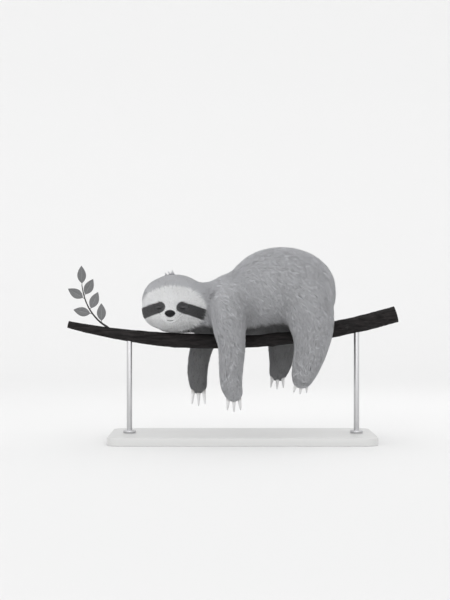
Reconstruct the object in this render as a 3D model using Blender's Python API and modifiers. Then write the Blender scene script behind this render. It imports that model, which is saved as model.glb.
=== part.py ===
"""A three-toed sloth asleep over a short cut length of branch, on a plain display stand.

Metres, +Z up. The branch runs along X and the animal faces -X, with its head turned to its own
left, so that the face looks along -Y. Z = 0 is the underside of the stand's base, and X = Y = 0 is
the middle of the whole model. The body is modelled whole, out to the tips of its coat, and is then
parted by thin cuts into the pieces that a person would name.
"""

import math

import bmesh
import bpy
from mathutils import Matrix, Vector

# ---- Driving dimensions -------------------------------------------------------------------------
GAP = 0.0003  # clearance between two pieces that touch
PARTING = 0.0006  # width of the thin cuts that part the body

BRANCH_HALF_LENGTH = 0.365
BRANCH_LOW_X = -0.045  # where the branch sags lowest
BRANCH_LOW_Z = 0.2196
BRANCH_RISE = 0.367  # rise of its centreline per square metre from there
BRANCH_RADIUS = 0.0166
BRANCH_TAPER_X = -0.13  # the thin end begins here
BRANCH_TAPER = 0.0086  # radius lost at the thin end
BRANCH_SWELL = 0.0022  # radius gained at the thick end

HEAD = Vector((-0.1295, 0.012, 0.303))  # middle of the head
HEAD_YAW = math.radians(-6)  # the face looks a little towards -X
HEAD_PITCH = math.radians(-3)  # and a little upwards
HEAD_SIZE = Vector((0.147, 0.126, 0.131))  # across, front to back, and high
EYE_SPREAD = 0.0255  # from the middle of the face to an eye
EYE_UP = -0.0115  # height of the eyes over the middle of the head
EYE_FORWARD = 0.0520
EYE_SIZE = Vector((0.0095, 0.0060, 0.0062))  # half sizes of a closed eye: across, forward, up
NOSE_UP = -0.0255
NOSE_FORWARD = 0.0725
NOSE_SIZE = Vector((0.0115, 0.0075, 0.0080))
MOUTH_UP = -0.0420
MOUTH_FORWARD = 0.0640
MOUTH_HALF_WIDTH = 0.0175
MOUTH_LIFT = 0.0050  # rise of the corners
MOUTH_BEND = 0.0095  # how far the corners lie behind the middle
MOUTH_OPEN = 0.0022  # height of the slit
MOUTH_STRETCH = 4.0  # depth of the slit over its height

HAND_CLAW_LENGTH = 0.043  # along its curve, with the part inside the coat
FOOT_CLAW_LENGTH = 0.038
CLAW_RADIUS = 0.0040  # at the root
CLAW_TURN = math.radians(50)  # how far a claw turns from root to tip
CLAW_SPREAD = 0.0110  # between neighbouring claws
CLAW_SUNK = 0.015  # length of a claw inside the coat
CLAW_FAN = 0.10  # sideways lean of the outer claws
CLAW_TIP = 0.22  # radius at the point, as a share of the root's

BASE_SIZE = Vector((0.58, 0.24, 0.018))
BASE_X = 0.020
BASE_CORNER = 0.03
BASE_EASE = 0.002  # bevel of the top edge
ROD_RADIUS = 0.006
ROD_X = (-0.228, 0.272)
ROD_SUNK = 0.007  # how far a rod enters the branch and the base
COLLAR_RADIUS = 0.014
COLLAR_HEIGHT = 0.006

LEAF_LENGTH = 0.041
LEAF_WIDTH = 0.019
LEAF_THICKNESS = 0.0012
STALK_SHARE = 0.10  # of a leaf's length
STALK_HALF_WIDTH = 0.0009
STALK_REACH = 0.0034  # from the twig's middle to a stalk's foot

VOXEL = 0.0052  # grain of the whole-body surface
BODY_TRIANGLES = 2640
FACE_DETAIL = 2e-5  # cost added to a facet's loss on the face, which is kept finer


# ---- The scene ----------------------------------------------------------------------------------
def clear_scene():
    for obj in list(bpy.data.objects):
        bpy.data.objects.remove(obj, do_unlink=True)


def new_collection(name):
    collection = bpy.data.collections.new(name)
    bpy.context.scene.collection.children.link(collection)
    return collection


def material(name, colour, roughness, metallic=0.0):
    made = bpy.data.materials.new(name)
    made.use_nodes = True
    shader = made.node_tree.nodes["Principled BSDF"]
    shader.inputs["Base Color"].default_value = (*colour, 1.0)
    shader.inputs["Roughness"].default_value = roughness
    shader.inputs["Metallic"].default_value = metallic
    return made


def smooth_shaded(obj, angle=40):
    obj.data.shade_smooth()
    obj.data.set_sharp_from_angle(angle=math.radians(angle))


def as_mesh(obj, collection, name=None):
    """A new mesh object of what obj evaluates to, placed in the world. obj is removed."""
    bpy.context.view_layer.update()
    evaluated = obj.evaluated_get(bpy.context.evaluated_depsgraph_get())
    data = bpy.data.meshes.new_from_object(evaluated)
    data.transform(obj.matrix_world)
    name = name or obj.name
    bpy.data.objects.remove(obj, do_unlink=True)
    work = bmesh.new()
    work.from_mesh(data)
    bmesh.ops.remove_doubles(work, verts=work.verts, dist=1e-6)
    work.to_mesh(data)
    work.free()
    data.name = name
    made = bpy.data.objects.new(name, data)
    collection.objects.link(made)
    return made


# ---- Shapes -------------------------------------------------------------------------------------
def tube(name, points, radii, collection, sides=2):
    """A round bar through the points, with a radius at each of them."""
    curve = bpy.data.curves.new(name, "CURVE")
    curve.dimensions = "3D"
    curve.bevel_depth = 1.0
    curve.bevel_resolution = sides
    curve.use_fill_caps = True
    spline = curve.splines.new("POLY")
    spline.points.add(len(points) - 1)
    for point, place, radius in zip(spline.points, points, radii):
        point.co = (*place, 1.0)
        point.radius = radius
    obj = bpy.data.objects.new(name, curve)
    collection.objects.link(obj)
    return as_mesh(obj, collection, name)


def ball(name, centre, half_sizes, collection, turn=None, segments=24, rings=14):
    """An ellipsoid, turned by the matrix turn."""
    data = bpy.data.meshes.new(name)
    work = bmesh.new()
    bmesh.ops.create_uvsphere(work, u_segments=segments, v_segments=rings, radius=1.0)
    work.to_mesh(data)
    work.free()
    turn = turn or Matrix.Identity(3)
    data.transform(
        Matrix.Translation(centre) @ turn.to_4x4() @ Matrix.Diagonal((*half_sizes, 1.0))
    )
    obj = bpy.data.objects.new(name, data)
    collection.objects.link(obj)
    return obj


def smooth_path(stations, steps):
    """Points and radii on a smooth curve through the stations, which are (x, y, z, radius)."""
    stations = [Vector(s) for s in stations]
    ends = [2 * stations[0] - stations[1], *stations, 2 * stations[-1] - stations[-2]]
    path = []
    for a, b, c, d in zip(ends, ends[1:], ends[2:], ends[3:]):
        for step in range(steps):
            t = step / steps
            path.append(
                0.5
                * (
                    2 * b
                    + (c - a) * t
                    + (2 * a - 5 * b + 4 * c - d) * t**2
                    + (3 * b - a - 3 * c + d) * t**3
                )
            )
    path.append(stations[-1])
    return [p.to_3d() for p in path], [p.w for p in path]


def mass(name, stations, collection):
    """A round-ended bar of flesh through the stations."""
    points, radii = smooth_path(stations, 4)
    return [
        tube(name, points, radii, collection, sides=6),
        ball(name + "_start", points[0], [radii[0]] * 3, collection),
        ball(name + "_end", points[-1], [radii[-1]] * 3, collection),
    ]


def cut_by(obj, tools, operation):
    """Cuts obj by one tool after another, and removes them."""
    for tool in tools:
        modifier = obj.modifiers.new("cut", "BOOLEAN")
        modifier.operation = operation
        modifier.object = tool
    made = as_mesh(obj, obj.users_collection[0], obj.name)
    for tool in tools:
        bpy.data.objects.remove(tool, do_unlink=True)
    return made


def subtract(obj, tools):
    return cut_by(obj, tools, "DIFFERENCE")


# ---- The branch ---------------------------------------------------------------------------------
def branch_height(x):
    return BRANCH_LOW_Z + BRANCH_RISE * (x - BRANCH_LOW_X) ** 2


def branch_end(sign):
    """Where the centreline ends, so that the square-cut end face reaches the half length."""
    slope = 2 * BRANCH_RISE * (sign * BRANCH_HALF_LENGTH - BRANCH_LOW_X)
    tilt = abs(math.sin(math.atan(slope)))
    return sign * (BRANCH_HALF_LENGTH - branch_radius(sign * BRANCH_HALF_LENGTH) * tilt)


def branch_radius(x):
    thin = max(0.0, (BRANCH_TAPER_X - x) / (BRANCH_TAPER_X + BRANCH_HALF_LENGTH))
    thick = max(0.0, x / BRANCH_HALF_LENGTH)
    return BRANCH_RADIUS - BRANCH_TAPER * thin**1.2 + BRANCH_SWELL * thick


def branch_shape(name, collection, more=0.0, steps=18, sides=3):
    first, last = branch_end(-1), branch_end(1)
    xs = [first + (last - first) * i / steps for i in range(steps + 1)]
    points = [Vector((x, 0, branch_height(x))) for x in xs]
    return tube(name, points, [branch_radius(x) + more for x in xs], collection, sides)


# ---- The head -----------------------------------------------------------------------------------
HEAD_TURN = Matrix.Rotation(HEAD_YAW, 3, "Z") @ Matrix.Rotation(HEAD_PITCH, 3, "X")


def on_head(across, forward, up):
    """A point given from the middle of the head; across runs to the animal's left, towards +X."""
    return HEAD + HEAD_TURN @ Vector((across, -forward, up))


def head_ball(name, across, forward, up, half_sizes, collection, **more):
    """An ellipsoid on the head, with its half sizes across, forward and up."""
    return ball(name, on_head(across, forward, up), half_sizes, collection, HEAD_TURN, **more)


def head_masses(collection):
    half = HEAD_SIZE / 2
    crown = half - Vector((0.002, 0.006, 0.005))
    face_ruff = Vector((half.x - 0.004, 0.040, half.z - 0.014))
    made = [
        head_ball("crown", 0, -0.006, 0.006, crown, collection),
        head_ball("face_ruff", 0, 0.016, -0.014, face_ruff, collection),
        head_ball("brow", 0, 0.030, 0.004, (0.040, 0.026, 0.030), collection),
        head_ball("muzzle", 0, 0.047, -0.0285, (0.0245, 0.0255, 0.0165), collection),
        head_ball("chin", 0, 0.040, -0.0430, (0.0200, 0.0210, 0.0130), collection),
    ]
    for side in (-1, 1):
        made.append(
            head_ball("cheek", side * 0.030, 0.022, -0.026, (0.026, 0.034, 0.026), collection)
        )
    return made


def mouth_groove(collection):
    """A thin smiling cut under the nose: a bent bar, stretched front to back."""
    points = []
    steps = 8
    for i in range(steps + 1):
        share = 2 * i / steps - 1
        forward = MOUTH_FORWARD - MOUTH_BEND * share**2
        up = MOUTH_UP + MOUTH_LIFT * share**2
        points.append(Vector((MOUTH_HALF_WIDTH * share, -forward / MOUTH_STRETCH, up)))
    groove = tube("mouth", points, [MOUTH_OPEN / 2] * len(points), collection, sides=1)
    stretch = Matrix.Diagonal((1.0, MOUTH_STRETCH, 1.0, 1.0))
    groove.data.transform(Matrix.Translation(HEAD) @ HEAD_TURN.to_4x4() @ stretch)
    return groove


# ---- The body -----------------------------------------------------------------------------------
LIMB_SEGMENTS = {"arm": ("upper_arm", "forearm", "hand"), "leg": ("thigh", "shin", "foot")}
# Each station of a limb is (x, y, z, radius out to the coat's surface).
LIMBS = {
    "arm_left": [
        (-0.006, -0.048, 0.312, 0.043),
        (-0.0090, -0.061, 0.256, 0.0385),
        (-0.003, -0.066, 0.211, 0.0315),
        (-0.0045, -0.063, 0.166, 0.0285),
        (-0.0045, -0.058, 0.130, 0.0260),
        (0.001, -0.053, 0.1085, 0.0215),
    ],
    "arm_right": [
        (-0.022, 0.049, 0.305, 0.041),
        (-0.048, 0.063, 0.254, 0.0340),
        (-0.070, 0.068, 0.205, 0.0275),
        (-0.079, 0.065, 0.162, 0.0255),
        (-0.079, 0.059, 0.132, 0.0235),
        (-0.077, 0.054, 0.1165, 0.0195),
    ],
    "leg_left": [
        (0.158, -0.046, 0.312, 0.062),
        (0.170, -0.064, 0.253, 0.0500),
        (0.168, -0.070, 0.208, 0.0390),
        (0.157, -0.067, 0.168, 0.0325),
        (0.1515, -0.061, 0.1490, 0.0285),
        (0.1490, -0.057, 0.1400, 0.0240),
    ],
    "leg_right": [
        (0.136, 0.046, 0.306, 0.060),
        (0.121, 0.062, 0.252, 0.0450),
        (0.1115, 0.067, 0.208, 0.0345),
        (0.1080, 0.064, 0.172, 0.0280),
        (0.1040, 0.059, 0.1550, 0.0250),
        (0.1010, 0.055, 0.1470, 0.0218),
    ],
}
TRUNK = {  # name: (middle, half sizes)
    "barrel": ((0.107, 0.000, 0.3345), (0.121, 0.098, 0.0940)),
    "haunch": ((0.140, 0.000, 0.318), (0.088, 0.096, 0.070)),
    "chest": ((0.014, 0.000, 0.3120), (0.080, 0.079, 0.0620)),
    "belly": ((0.040, 0.000, 0.2750), (0.090, 0.058, 0.0420)),
    "throat": ((-0.052, 0.000, 0.2680), (0.052, 0.040, 0.0320)),
}
NECK = [
    (0.000, 0.000, 0.306, 0.060),
    (-0.050, 0.006, 0.299, 0.053),
    (-0.100, 0.018, 0.298, 0.052),
]
TAIL = [
    (0.186, 0.022, 0.300, 0.034),
    (0.200, 0.040, 0.254, 0.0210),
    (0.204, 0.046, 0.222, 0.0140),
]
HANDS = {  # limb: half sizes of the palm or sole, and claw length
    "arm_left": ((0.0225, 0.0165, 0.0200), HAND_CLAW_LENGTH),
    "arm_right": ((0.0215, 0.0160, 0.0195), HAND_CLAW_LENGTH),
    "leg_left": ((0.0230, 0.0180, 0.0190), FOOT_CLAW_LENGTH),
    "leg_right": ((0.0220, 0.0175, 0.0185), FOOT_CLAW_LENGTH),
}


def whole_body(collection):
    """The animal in one closed surface, out to the tips of its coat."""
    masses = head_masses(collection)
    for name, (centre, half_sizes) in TRUNK.items():
        masses.append(ball(name, Vector(centre), half_sizes, collection, segments=32, rings=20))
    masses += mass("neck", NECK, collection)
    masses += mass("tail", TAIL, collection)
    for name, stations in LIMBS.items():
        masses += mass(name, stations, collection)
        masses.append(ball("palm", Vector(stations[-1][:3]), HANDS[name][0], collection))
    joined = bmesh.new()
    for part in masses:
        joined.from_mesh(part.data)
        bpy.data.objects.remove(part, do_unlink=True)
    data = bpy.data.meshes.new("body")
    joined.to_mesh(data)
    joined.free()
    body = bpy.data.objects.new("body", data)
    collection.objects.link(body)
    remesh = body.modifiers.new("remesh", "REMESH")
    remesh.mode = "VOXEL"
    remesh.voxel_size = VOXEL
    blend = body.modifiers.new("blend", "SMOOTH")
    blend.factor = 0.5
    blend.iterations = 7
    body = as_mesh(body, collection, "body")
    body.data.calc_loop_triangles()
    keep = body.vertex_groups.new(name="plain")
    for vertex in body.data.vertices:
        keep.add([vertex.index], 1.0 - fine_share(vertex.co), "REPLACE")
    fewer = body.modifiers.new("fewer", "DECIMATE")
    fewer.ratio = BODY_TRIANGLES / len(body.data.loop_triangles)
    fewer.use_collapse_triangulate = True
    fewer.vertex_group = "plain"
    fewer.vertex_group_factor = FACE_DETAIL
    return as_mesh(body, collection, "body")


def fine_share(place):
    """1 on the face, falling to 0 away from it, where the body takes larger facets."""
    face = on_head(0, 0.045, -0.020)
    away = (place - face).length
    return max(0.0, min(1.0, (0.085 - away) / 0.045))


# ---- Parting the body ---------------------------------------------------------------------------
# Each region is (a point on the cut, the way out through it, half width, reach inward, depth).
HEAD_REGION = (Vector((-0.078, 0.010, 0.306)), Vector((-0.97, -0.24, 0.0)), 0.12, 0.12, 0.2)
NECK_REGION = (Vector((-0.052, 0.000, 0.306)), Vector((-1.00, -0.05, 0.0)), 0.12, 0.12, 0.2)
TAIL_REGION = (Vector((0.202, 0.042, 0.246)), Vector((0.12, 0.18, -0.97)), 0.034, 0.034, 0.1)
ROOT_LIFT = {"arm": 0.014, "leg": 0.009}  # of a limb's root cut over its second station
ROOT_INSET = 0.008  # of that cut, towards the middle of the body
ROOT_SLANT = Vector((0, 0.55, -0.835))  # the way out through it, for a limb on the right
ROOT_HALF_WIDTH = {"arm": 0.047, "leg": 0.068}
ROOT_REACH = 0.078  # inward, as far as the branch
WRIST_LIFT = 0.004  # of a hand's cut over its station


def regions():
    """The regions to take off the body, as (name, region), with the far end of each limb first."""
    found = []
    for limb, stations in LIMBS.items():
        kind, side_name = limb.split("_")
        side = -1 if side_name == "left" else 1
        joints = [Vector(s[:3]) for s in stations]
        root = joints[1] + Vector((0, -ROOT_INSET * side, ROOT_LIFT[kind]))
        slant = ROOT_SLANT * Vector((1, side, 1))
        wrist = joints[4] + Vector((0, 0, WRIST_LIFT))
        cuts = (
            (root, slant, ROOT_HALF_WIDTH[kind], ROOT_REACH, 0.25),
            (joints[2], joints[3] - joints[1], 0.060, 0.060, 0.15),
            (wrist, joints[5] - joints[3], 0.050, 0.050, 0.10),
        )
        for segment, cut in reversed(list(zip(LIMB_SEGMENTS[kind], cuts))):
            found.append((f"{segment}_{side_name}", cut))
    return [*found, ("tail", TAIL_REGION), ("head", HEAD_REGION), ("neck", NECK_REGION)]


def region_box(name, point, out, half_width, reach, depth, collection, more=0.0):
    """A box that starts at the cut and runs out from it, and is larger than the piece it takes."""
    out = out.normalized()
    level = out.cross(Vector((0, 0, 1)))
    level = level.normalized() if level.length > 0.3 else Vector((1, 0, 0))
    level = (level - out * level.dot(out)).normalized()
    data = bpy.data.meshes.new(name)
    work = bmesh.new()
    bmesh.ops.create_cube(work, size=1.0)
    work.to_mesh(data)
    work.free()
    turn = Matrix((level, out.cross(level), out)).transposed()
    size = (2 * (half_width + more), 2 * (reach + more), depth + 2 * more, 1.0)
    middle = point + out * depth / 2
    data.transform(Matrix.Translation(middle) @ turn.to_4x4() @ Matrix.Diagonal(size))
    obj = bpy.data.objects.new(name, data)
    collection.objects.link(obj)
    return obj


def part_body(body, collection, look):
    """Takes each region's piece off the body. What is left is the trunk."""
    made = []
    for name, region in regions():
        piece = body.copy()
        piece.data = body.data.copy()
        piece.name = name
        collection.objects.link(piece)
        made.append(cut_by(piece, [region_box("region", *region, collection)], "INTERSECT"))
        body = subtract(body, [region_box("region", *region, collection, more=PARTING)])
    body.name = "trunk"
    for obj in [*made, body]:
        obj.data.materials.clear()
        obj.data.materials.append(look)
        smooth_shaded(obj)


# ---- Claws --------------------------------------------------------------------------------------
def claw_path(root, down, inward, length, steps=5):
    """A claw's centreline: it leaves root along down and bends towards inward, in an arc."""
    points = [root.copy()]
    for i in range(steps):
        angle = CLAW_TURN * (i + 0.5) / steps
        points.append(points[-1] + (down * math.cos(angle) + inward * math.sin(angle)) * length / steps)
    return points


def claw_radii(steps=5, more=0.0):
    """Radii that stay near the root's and then taper fast to the point."""
    shares = [1 - (1 - CLAW_TIP) * (i / steps) ** 1.6 for i in range(steps + 1)]
    return [CLAW_RADIUS * share + more for share in shares]


def claws_of(limb):
    """(name, centreline) of the three claws of a hand or foot."""
    kind, side_name = limb.split("_")
    side = -1 if side_name == "left" else 1
    stations = [Vector(s[:3]) for s in LIMBS[limb]]
    half_sizes, length = HANDS[limb]
    down = stations[-1] - stations[-3]
    down.x *= 0.3
    down.normalize()
    tip = stations[-1] + down * half_sizes[2]
    for number in range(3):
        fan = number - 1
        root = tip - down * CLAW_SUNK + Vector((fan * CLAW_SPREAD, 0, 0.0015 * abs(fan)))
        way = (down + Vector((CLAW_FAN * fan, 0, 0))).normalized()
        path = claw_path(root, way, Vector((0, -side, 0)), length * (1 - 0.06 * abs(fan)))
        yield f"claw_{LIMB_SEGMENTS[kind][2]}_{side_name}_{number + 1}", path


# ---- Leaves -------------------------------------------------------------------------------------
TWIG_ROOT_X = -0.277
TWIG_SUNK = 0.005  # length of twig inside the branch
TWIG = [  # from the branch to the last leaf's stalk: along X, over the root, and the radius
    (0.0000, 0.0000, 0.0024),
    (-0.0105, 0.0070, 0.0021),
    (-0.0190, 0.0135, 0.0019),
    (-0.0320, 0.0280, 0.0017),
    (-0.0410, 0.0420, 0.0015),
    (-0.0490, 0.0600, 0.0013),
    (-0.0530, 0.0760, 0.0011),
    (-0.0560, 0.0930, 0.0009),
]
LEAVES = (  # station along the twig, and the way the leaf points, in degrees from +X
    (1.10, 92),
    (2.95, 166),
    (3.55, 68),
    (5.00, 147),
    (5.35, 64),
    (7.00, 91),
)


def twig_place(station):
    """The twig's middle at a station, from its root."""
    points = [Vector((x, 0, z)) for x, z, _ in TWIG]
    before = min(int(station), len(points) - 2)
    return points[before].lerp(points[before + 1], station - before)


def twig_root():
    x = TWIG_ROOT_X
    return Vector((x, 0, branch_height(x) + branch_radius(x)))


def twig_shape(name, more, collection):
    """The twig, with its foot sunk in the branch."""
    root = twig_root()
    points = [root + Vector((x, 0, z)) for x, z, _ in TWIG]
    points.insert(0, root - (points[1] - root).normalized() * (TWIG_SUNK + more))
    radii = [TWIG[0][2], *(r for _, _, r in TWIG)]
    return tube(name, points, [r + more for r in radii], collection)


def leaf_shape(name, foot, degrees, collection):
    """A pointed oval leaf with a short stalk, as a flat plate that stands along XZ."""
    outline = [(0.0, STALK_HALF_WIDTH), (STALK_SHARE, STALK_HALF_WIDTH)]
    steps = 7
    for i in range(1, steps):
        share = i / steps
        width = 0.5 * LEAF_WIDTH * math.sin(math.pi * share**0.85) ** 0.9
        along = STALK_SHARE + (1 - STALK_SHARE) * share
        outline.append((along, max(width, STALK_HALF_WIDTH)))
    upper = [(share * LEAF_LENGTH, width) for share, width in outline]
    loop = upper + [(LEAF_LENGTH, 0.0)] + [(x, -width) for x, width in reversed(upper)]
    curve = bpy.data.curves.new(name, "CURVE")
    curve.dimensions = "2D"
    curve.fill_mode = "BOTH"
    curve.extrude = LEAF_THICKNESS / 2
    spline = curve.splines.new("POLY")
    spline.points.add(len(loop) - 1)
    for point, (x, y) in zip(spline.points, loop):
        point.co = (x, y, 0, 1)
    spline.use_cyclic_u = True
    obj = bpy.data.objects.new(name, curve)
    collection.objects.link(obj)
    obj.matrix_world = (
        Matrix.Translation(foot)
        @ Matrix.Rotation(-math.radians(degrees), 4, "Y")
        @ Matrix.Rotation(math.radians(90), 4, "X")
    )
    return as_mesh(obj, collection, name)


def make_sprig(collection, wood, leaf_look):
    root = twig_root()
    twig = twig_shape("twig", 0.0, collection)
    twig.data.materials.append(wood)
    for number, (station, degrees) in enumerate(LEAVES, 1):
        angle = math.radians(degrees)
        way = Vector((math.cos(angle), 0, math.sin(angle)))
        reach = STALK_REACH if station < len(TWIG) - 1 else 3 * GAP
        foot = root + twig_place(station) + way * reach
        leaf = leaf_shape(f"leaf_{number}", foot, degrees, collection)
        leaf.data.materials.append(leaf_look)


# ---- The stand ----------------------------------------------------------------------------------
def make_base(collection, look):
    """A flat plate with round corners and an eased top edge."""
    data = bpy.data.meshes.new("stand_base")
    work = bmesh.new()
    bmesh.ops.create_cube(work, size=1.0)
    work.to_mesh(data)
    work.free()
    data.transform(
        Matrix.Translation((BASE_X, 0, BASE_SIZE.z / 2)) @ Matrix.Diagonal((*BASE_SIZE, 1.0))
    )
    base = bpy.data.objects.new("stand_base", data)
    collection.objects.link(base)
    work = bmesh.new()
    work.from_mesh(data)
    upright = [e for e in work.edges if abs(e.verts[0].co.z - e.verts[1].co.z) > BASE_SIZE.z / 2]
    bmesh.ops.bevel(
        work, geom=upright, offset=BASE_CORNER, segments=5, profile=0.5, affect="EDGES"
    )
    top = [f for f in work.faces if f.normal.z > 0.9]
    rim = list({e for f in top for e in f.edges})
    bmesh.ops.bevel(work, geom=rim, offset=BASE_EASE, segments=1, profile=0.5, affect="EDGES")
    work.to_mesh(data)
    work.free()
    foot = BASE_SIZE.z - ROD_SUNK
    tools = [rod_shape("bore", x, foot, 2 * BASE_SIZE.z, GAP, collection) for x in ROD_X]
    base = subtract(base, tools)
    base.data.materials.append(look)
    return base


def rod_shape(name, x, bottom, top, more, collection):
    points = [Vector((x, 0, bottom - more)), Vector((x, 0, top + more))]
    return tube(name, points, [ROD_RADIUS + more] * 2, collection, sides=8)


def rod_top(x):
    return branch_height(x) - branch_radius(x) + ROD_SUNK


def make_rods(collection, look):
    for number, x in enumerate(ROD_X, 1):
        foot = BASE_SIZE.z - ROD_SUNK
        rod = rod_shape(f"stand_rod_{number}", x, foot, rod_top(x), 0.0, collection)
        smooth_shaded(rod)
        rod.data.materials.append(look)
        low = BASE_SIZE.z + GAP
        points = [Vector((x, 0, low)), Vector((x, 0, low + COLLAR_HEIGHT))]
        collar = tube(f"stand_collar_{number}", points, [COLLAR_RADIUS] * 2, collection, sides=8)
        bore = rod_shape("bore", x, foot, low + 2 * COLLAR_HEIGHT, GAP, collection)
        collar = subtract(collar, [bore])
        smooth_shaded(collar)
        collar.data.materials.append(look)


def make_branch(collection, look):
    branch = branch_shape("branch", collection)
    tools = [rod_shape("bore", x, BASE_SIZE.z, rod_top(x), GAP, collection) for x in ROD_X]
    tools.append(twig_shape("twig_hole", GAP, collection))
    branch = subtract(branch, tools)
    smooth_shaded(branch)
    branch.data.materials.append(look)


# ---- Putting it together ------------------------------------------------------------------------
def make_animal(collection, looks):
    body = whole_body(collection)
    body = subtract(body, [branch_shape("groove", collection, more=2 * GAP)])
    tools = [mouth_groove(collection)]
    for sign in (-1, 1):
        tools.append(eye_shape("eye_socket", sign, GAP, collection))
    tools.append(nose_shape("nose_socket", GAP, collection))
    for limb in LIMBS:
        for name, path in claws_of(limb):
            tools.append(tube(name + "_socket", path, claw_radii(more=GAP), collection))
            claw = tube(name, path, claw_radii(), collection)
            smooth_shaded(claw)
            claw.data.materials.append(looks["claw"])
    body = subtract(body, tools)
    part_body(body, collection, looks["coat"])
    for sign, side in ((1, "left"), (-1, "right")):
        eye = eye_shape(f"eye_{side}", sign, 0.0, collection)
        smooth_shaded(eye)
        eye.data.materials.append(looks["bare_skin"])
    nose = nose_shape("nose", 0.0, collection)
    smooth_shaded(nose)
    nose.data.materials.append(looks["bare_skin"])


def eye_shape(name, sign, more, collection):
    """A closed eye: the bulge of its lids, sunk in the face."""
    half_sizes = EYE_SIZE + Vector((more, more, more))
    return head_ball(
        name, sign * EYE_SPREAD, EYE_FORWARD, EYE_UP, half_sizes, collection, segments=12, rings=6
    )


def nose_shape(name, more, collection):
    half_sizes = NOSE_SIZE + Vector((more, more, more))
    return head_ball(name, 0, NOSE_FORWARD - 0.005, NOSE_UP, half_sizes, collection, segments=12, rings=8)


def main():
    clear_scene()
    collection = new_collection("three_toed_sloth")
    looks = {
        "coat": material("coat", (0.30, 0.31, 0.33), 0.9),
        "bare_skin": material("bare_skin", (0.015, 0.015, 0.016), 0.4),
        "claw": material("claw", (0.60, 0.60, 0.58), 0.4),
        "bark": material("bark", (0.020, 0.018, 0.017), 0.8),
        "leaf": material("leaf", (0.25, 0.26, 0.26), 0.5),
        "lacquer": material("lacquer", (0.72, 0.72, 0.71), 0.35),
        "steel": material("steel", (0.60, 0.60, 0.61), 0.3, 1.0),
    }
    make_animal(collection, looks)
    make_branch(collection, looks["bark"])
    make_sprig(collection, looks["bark"], looks["leaf"])
    make_base(collection, looks["lacquer"])
    make_rods(collection, looks["steel"])


main()
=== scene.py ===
"""A three-toed sloth asleep over a branch, as a museum model on a display stand.

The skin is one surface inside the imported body, and the coat is thousands of fine closed tufts that
follow the lie of the hair over it. The lids, nose, lips, claws, wood, leaves and stand are pieces
of their own. Metres, +Z up, in the frame's own place.
"""

import math

import bmesh
import bpy
import numpy as np
from mathutils import Matrix, Vector, noise
from mathutils.bvhtree import BVHTree
from mathutils.kdtree import KDTree


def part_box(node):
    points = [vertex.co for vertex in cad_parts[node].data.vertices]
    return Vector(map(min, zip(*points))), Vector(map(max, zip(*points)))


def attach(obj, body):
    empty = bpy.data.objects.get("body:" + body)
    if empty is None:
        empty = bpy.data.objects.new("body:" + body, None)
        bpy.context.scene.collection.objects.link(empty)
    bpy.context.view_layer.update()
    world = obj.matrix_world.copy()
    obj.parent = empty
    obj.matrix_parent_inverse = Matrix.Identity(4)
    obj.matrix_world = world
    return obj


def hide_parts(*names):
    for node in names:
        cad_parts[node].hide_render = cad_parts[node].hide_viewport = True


bl_info = {
    "name": "Sleeping Sloth",
    "version": (1, 0, 0),
    "blender": (4, 5, 0),
    "location": "View3D > Sidebar > Sloth",
    "description": "Builds a sleeping sloth with its coat, its branch and leaves, and its stand",
    "category": "Object",
}

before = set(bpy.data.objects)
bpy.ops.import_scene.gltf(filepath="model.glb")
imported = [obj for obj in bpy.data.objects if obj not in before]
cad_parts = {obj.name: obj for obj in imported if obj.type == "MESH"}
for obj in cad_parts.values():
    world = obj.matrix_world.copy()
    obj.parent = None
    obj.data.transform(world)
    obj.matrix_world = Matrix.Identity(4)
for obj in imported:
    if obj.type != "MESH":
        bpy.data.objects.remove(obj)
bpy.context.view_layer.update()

SIDES = ("left", "right")
ARM = ("upper_arm", "forearm", "hand")
LEG = ("thigh", "shin", "foot")
FLESH = ("head", "neck", "trunk", "tail") + tuple(
    f"{part}_{side}" for side in SIDES for part in (*ARM, *LEG)
)
CLAWS = tuple(
    f"claw_{end}_{side}_{n}" for end in ("hand", "foot") for side in SIDES for n in (1, 2, 3)
)
LEAVES = tuple(f"leaf_{n}" for n in range(1, 7))

EYE_FORWARD = 0.0520  # of an eye's middle, from the middle of the head
EYE_UP = -0.0115
EYE_ACROSS = 0.0255
SEAM_HALF = 0.0100  # half the width of the seam between the lids
HEAD_PITCH = math.radians(-3)
NOSE_FORWARD, NOSE_UP = 0.0675, -0.0255  # of the nose's middle, from the middle of the head
NEAR_FACE = 0.11  # forward of the head's middle, in front of the whole face


# ---- Places on the frame ------------------------------------------------------------------------
def middle_of(node):
    low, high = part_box(node)
    return (low + high) / 2


def head_place():
    """The head's middle, and the turn from (across, back, up) on the head to the frame."""
    left, right = middle_of("eye_left"), middle_of("eye_right")
    yaw = math.atan2((left - right).y, (left - right).x)
    turn = Matrix.Rotation(yaw, 3, "Z") @ Matrix.Rotation(HEAD_PITCH, 3, "X")
    return (left + right) / 2 - turn @ Vector((0, -EYE_FORWARD, EYE_UP)), turn


HEAD, HEAD_TURN = head_place()
HEAD_BACK = HEAD_TURN @ Vector((0, 1, 0))
HEAD_FRONT = HEAD_TURN @ Vector((0, -1, 0))
HEAD_UP = HEAD_TURN @ Vector((0, 0, 1))


def on_head(across, forward, up):
    return HEAD + HEAD_TURN @ Vector((across, -forward, up))


def head_coordinates(points):
    """across (to the animal's left), forward and up of each point, from the middle of the head."""
    local = (points - np.array(HEAD)) @ np.array(HEAD_TURN)
    return local[:, 0], -local[:, 1], local[:, 2]


# ---- Numbers over a surface ---------------------------------------------------------------------
def smooth(value, low, high):
    """0 below low, 1 above high, and a smooth rise between them."""
    share = np.clip((value - low) / (high - low), 0, 1)
    return share * share * (3 - 2 * share)


def bell(*slopes, power=2):
    """1 where every value is zero, falling smoothly to nothing some way past each one's width."""
    return np.exp(-sum((value / width) ** power for value, width in slopes))


def toward(values, goal, share):
    """The values, moved by this share of the way to the goal."""
    return values + (goal - values) * share


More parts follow.
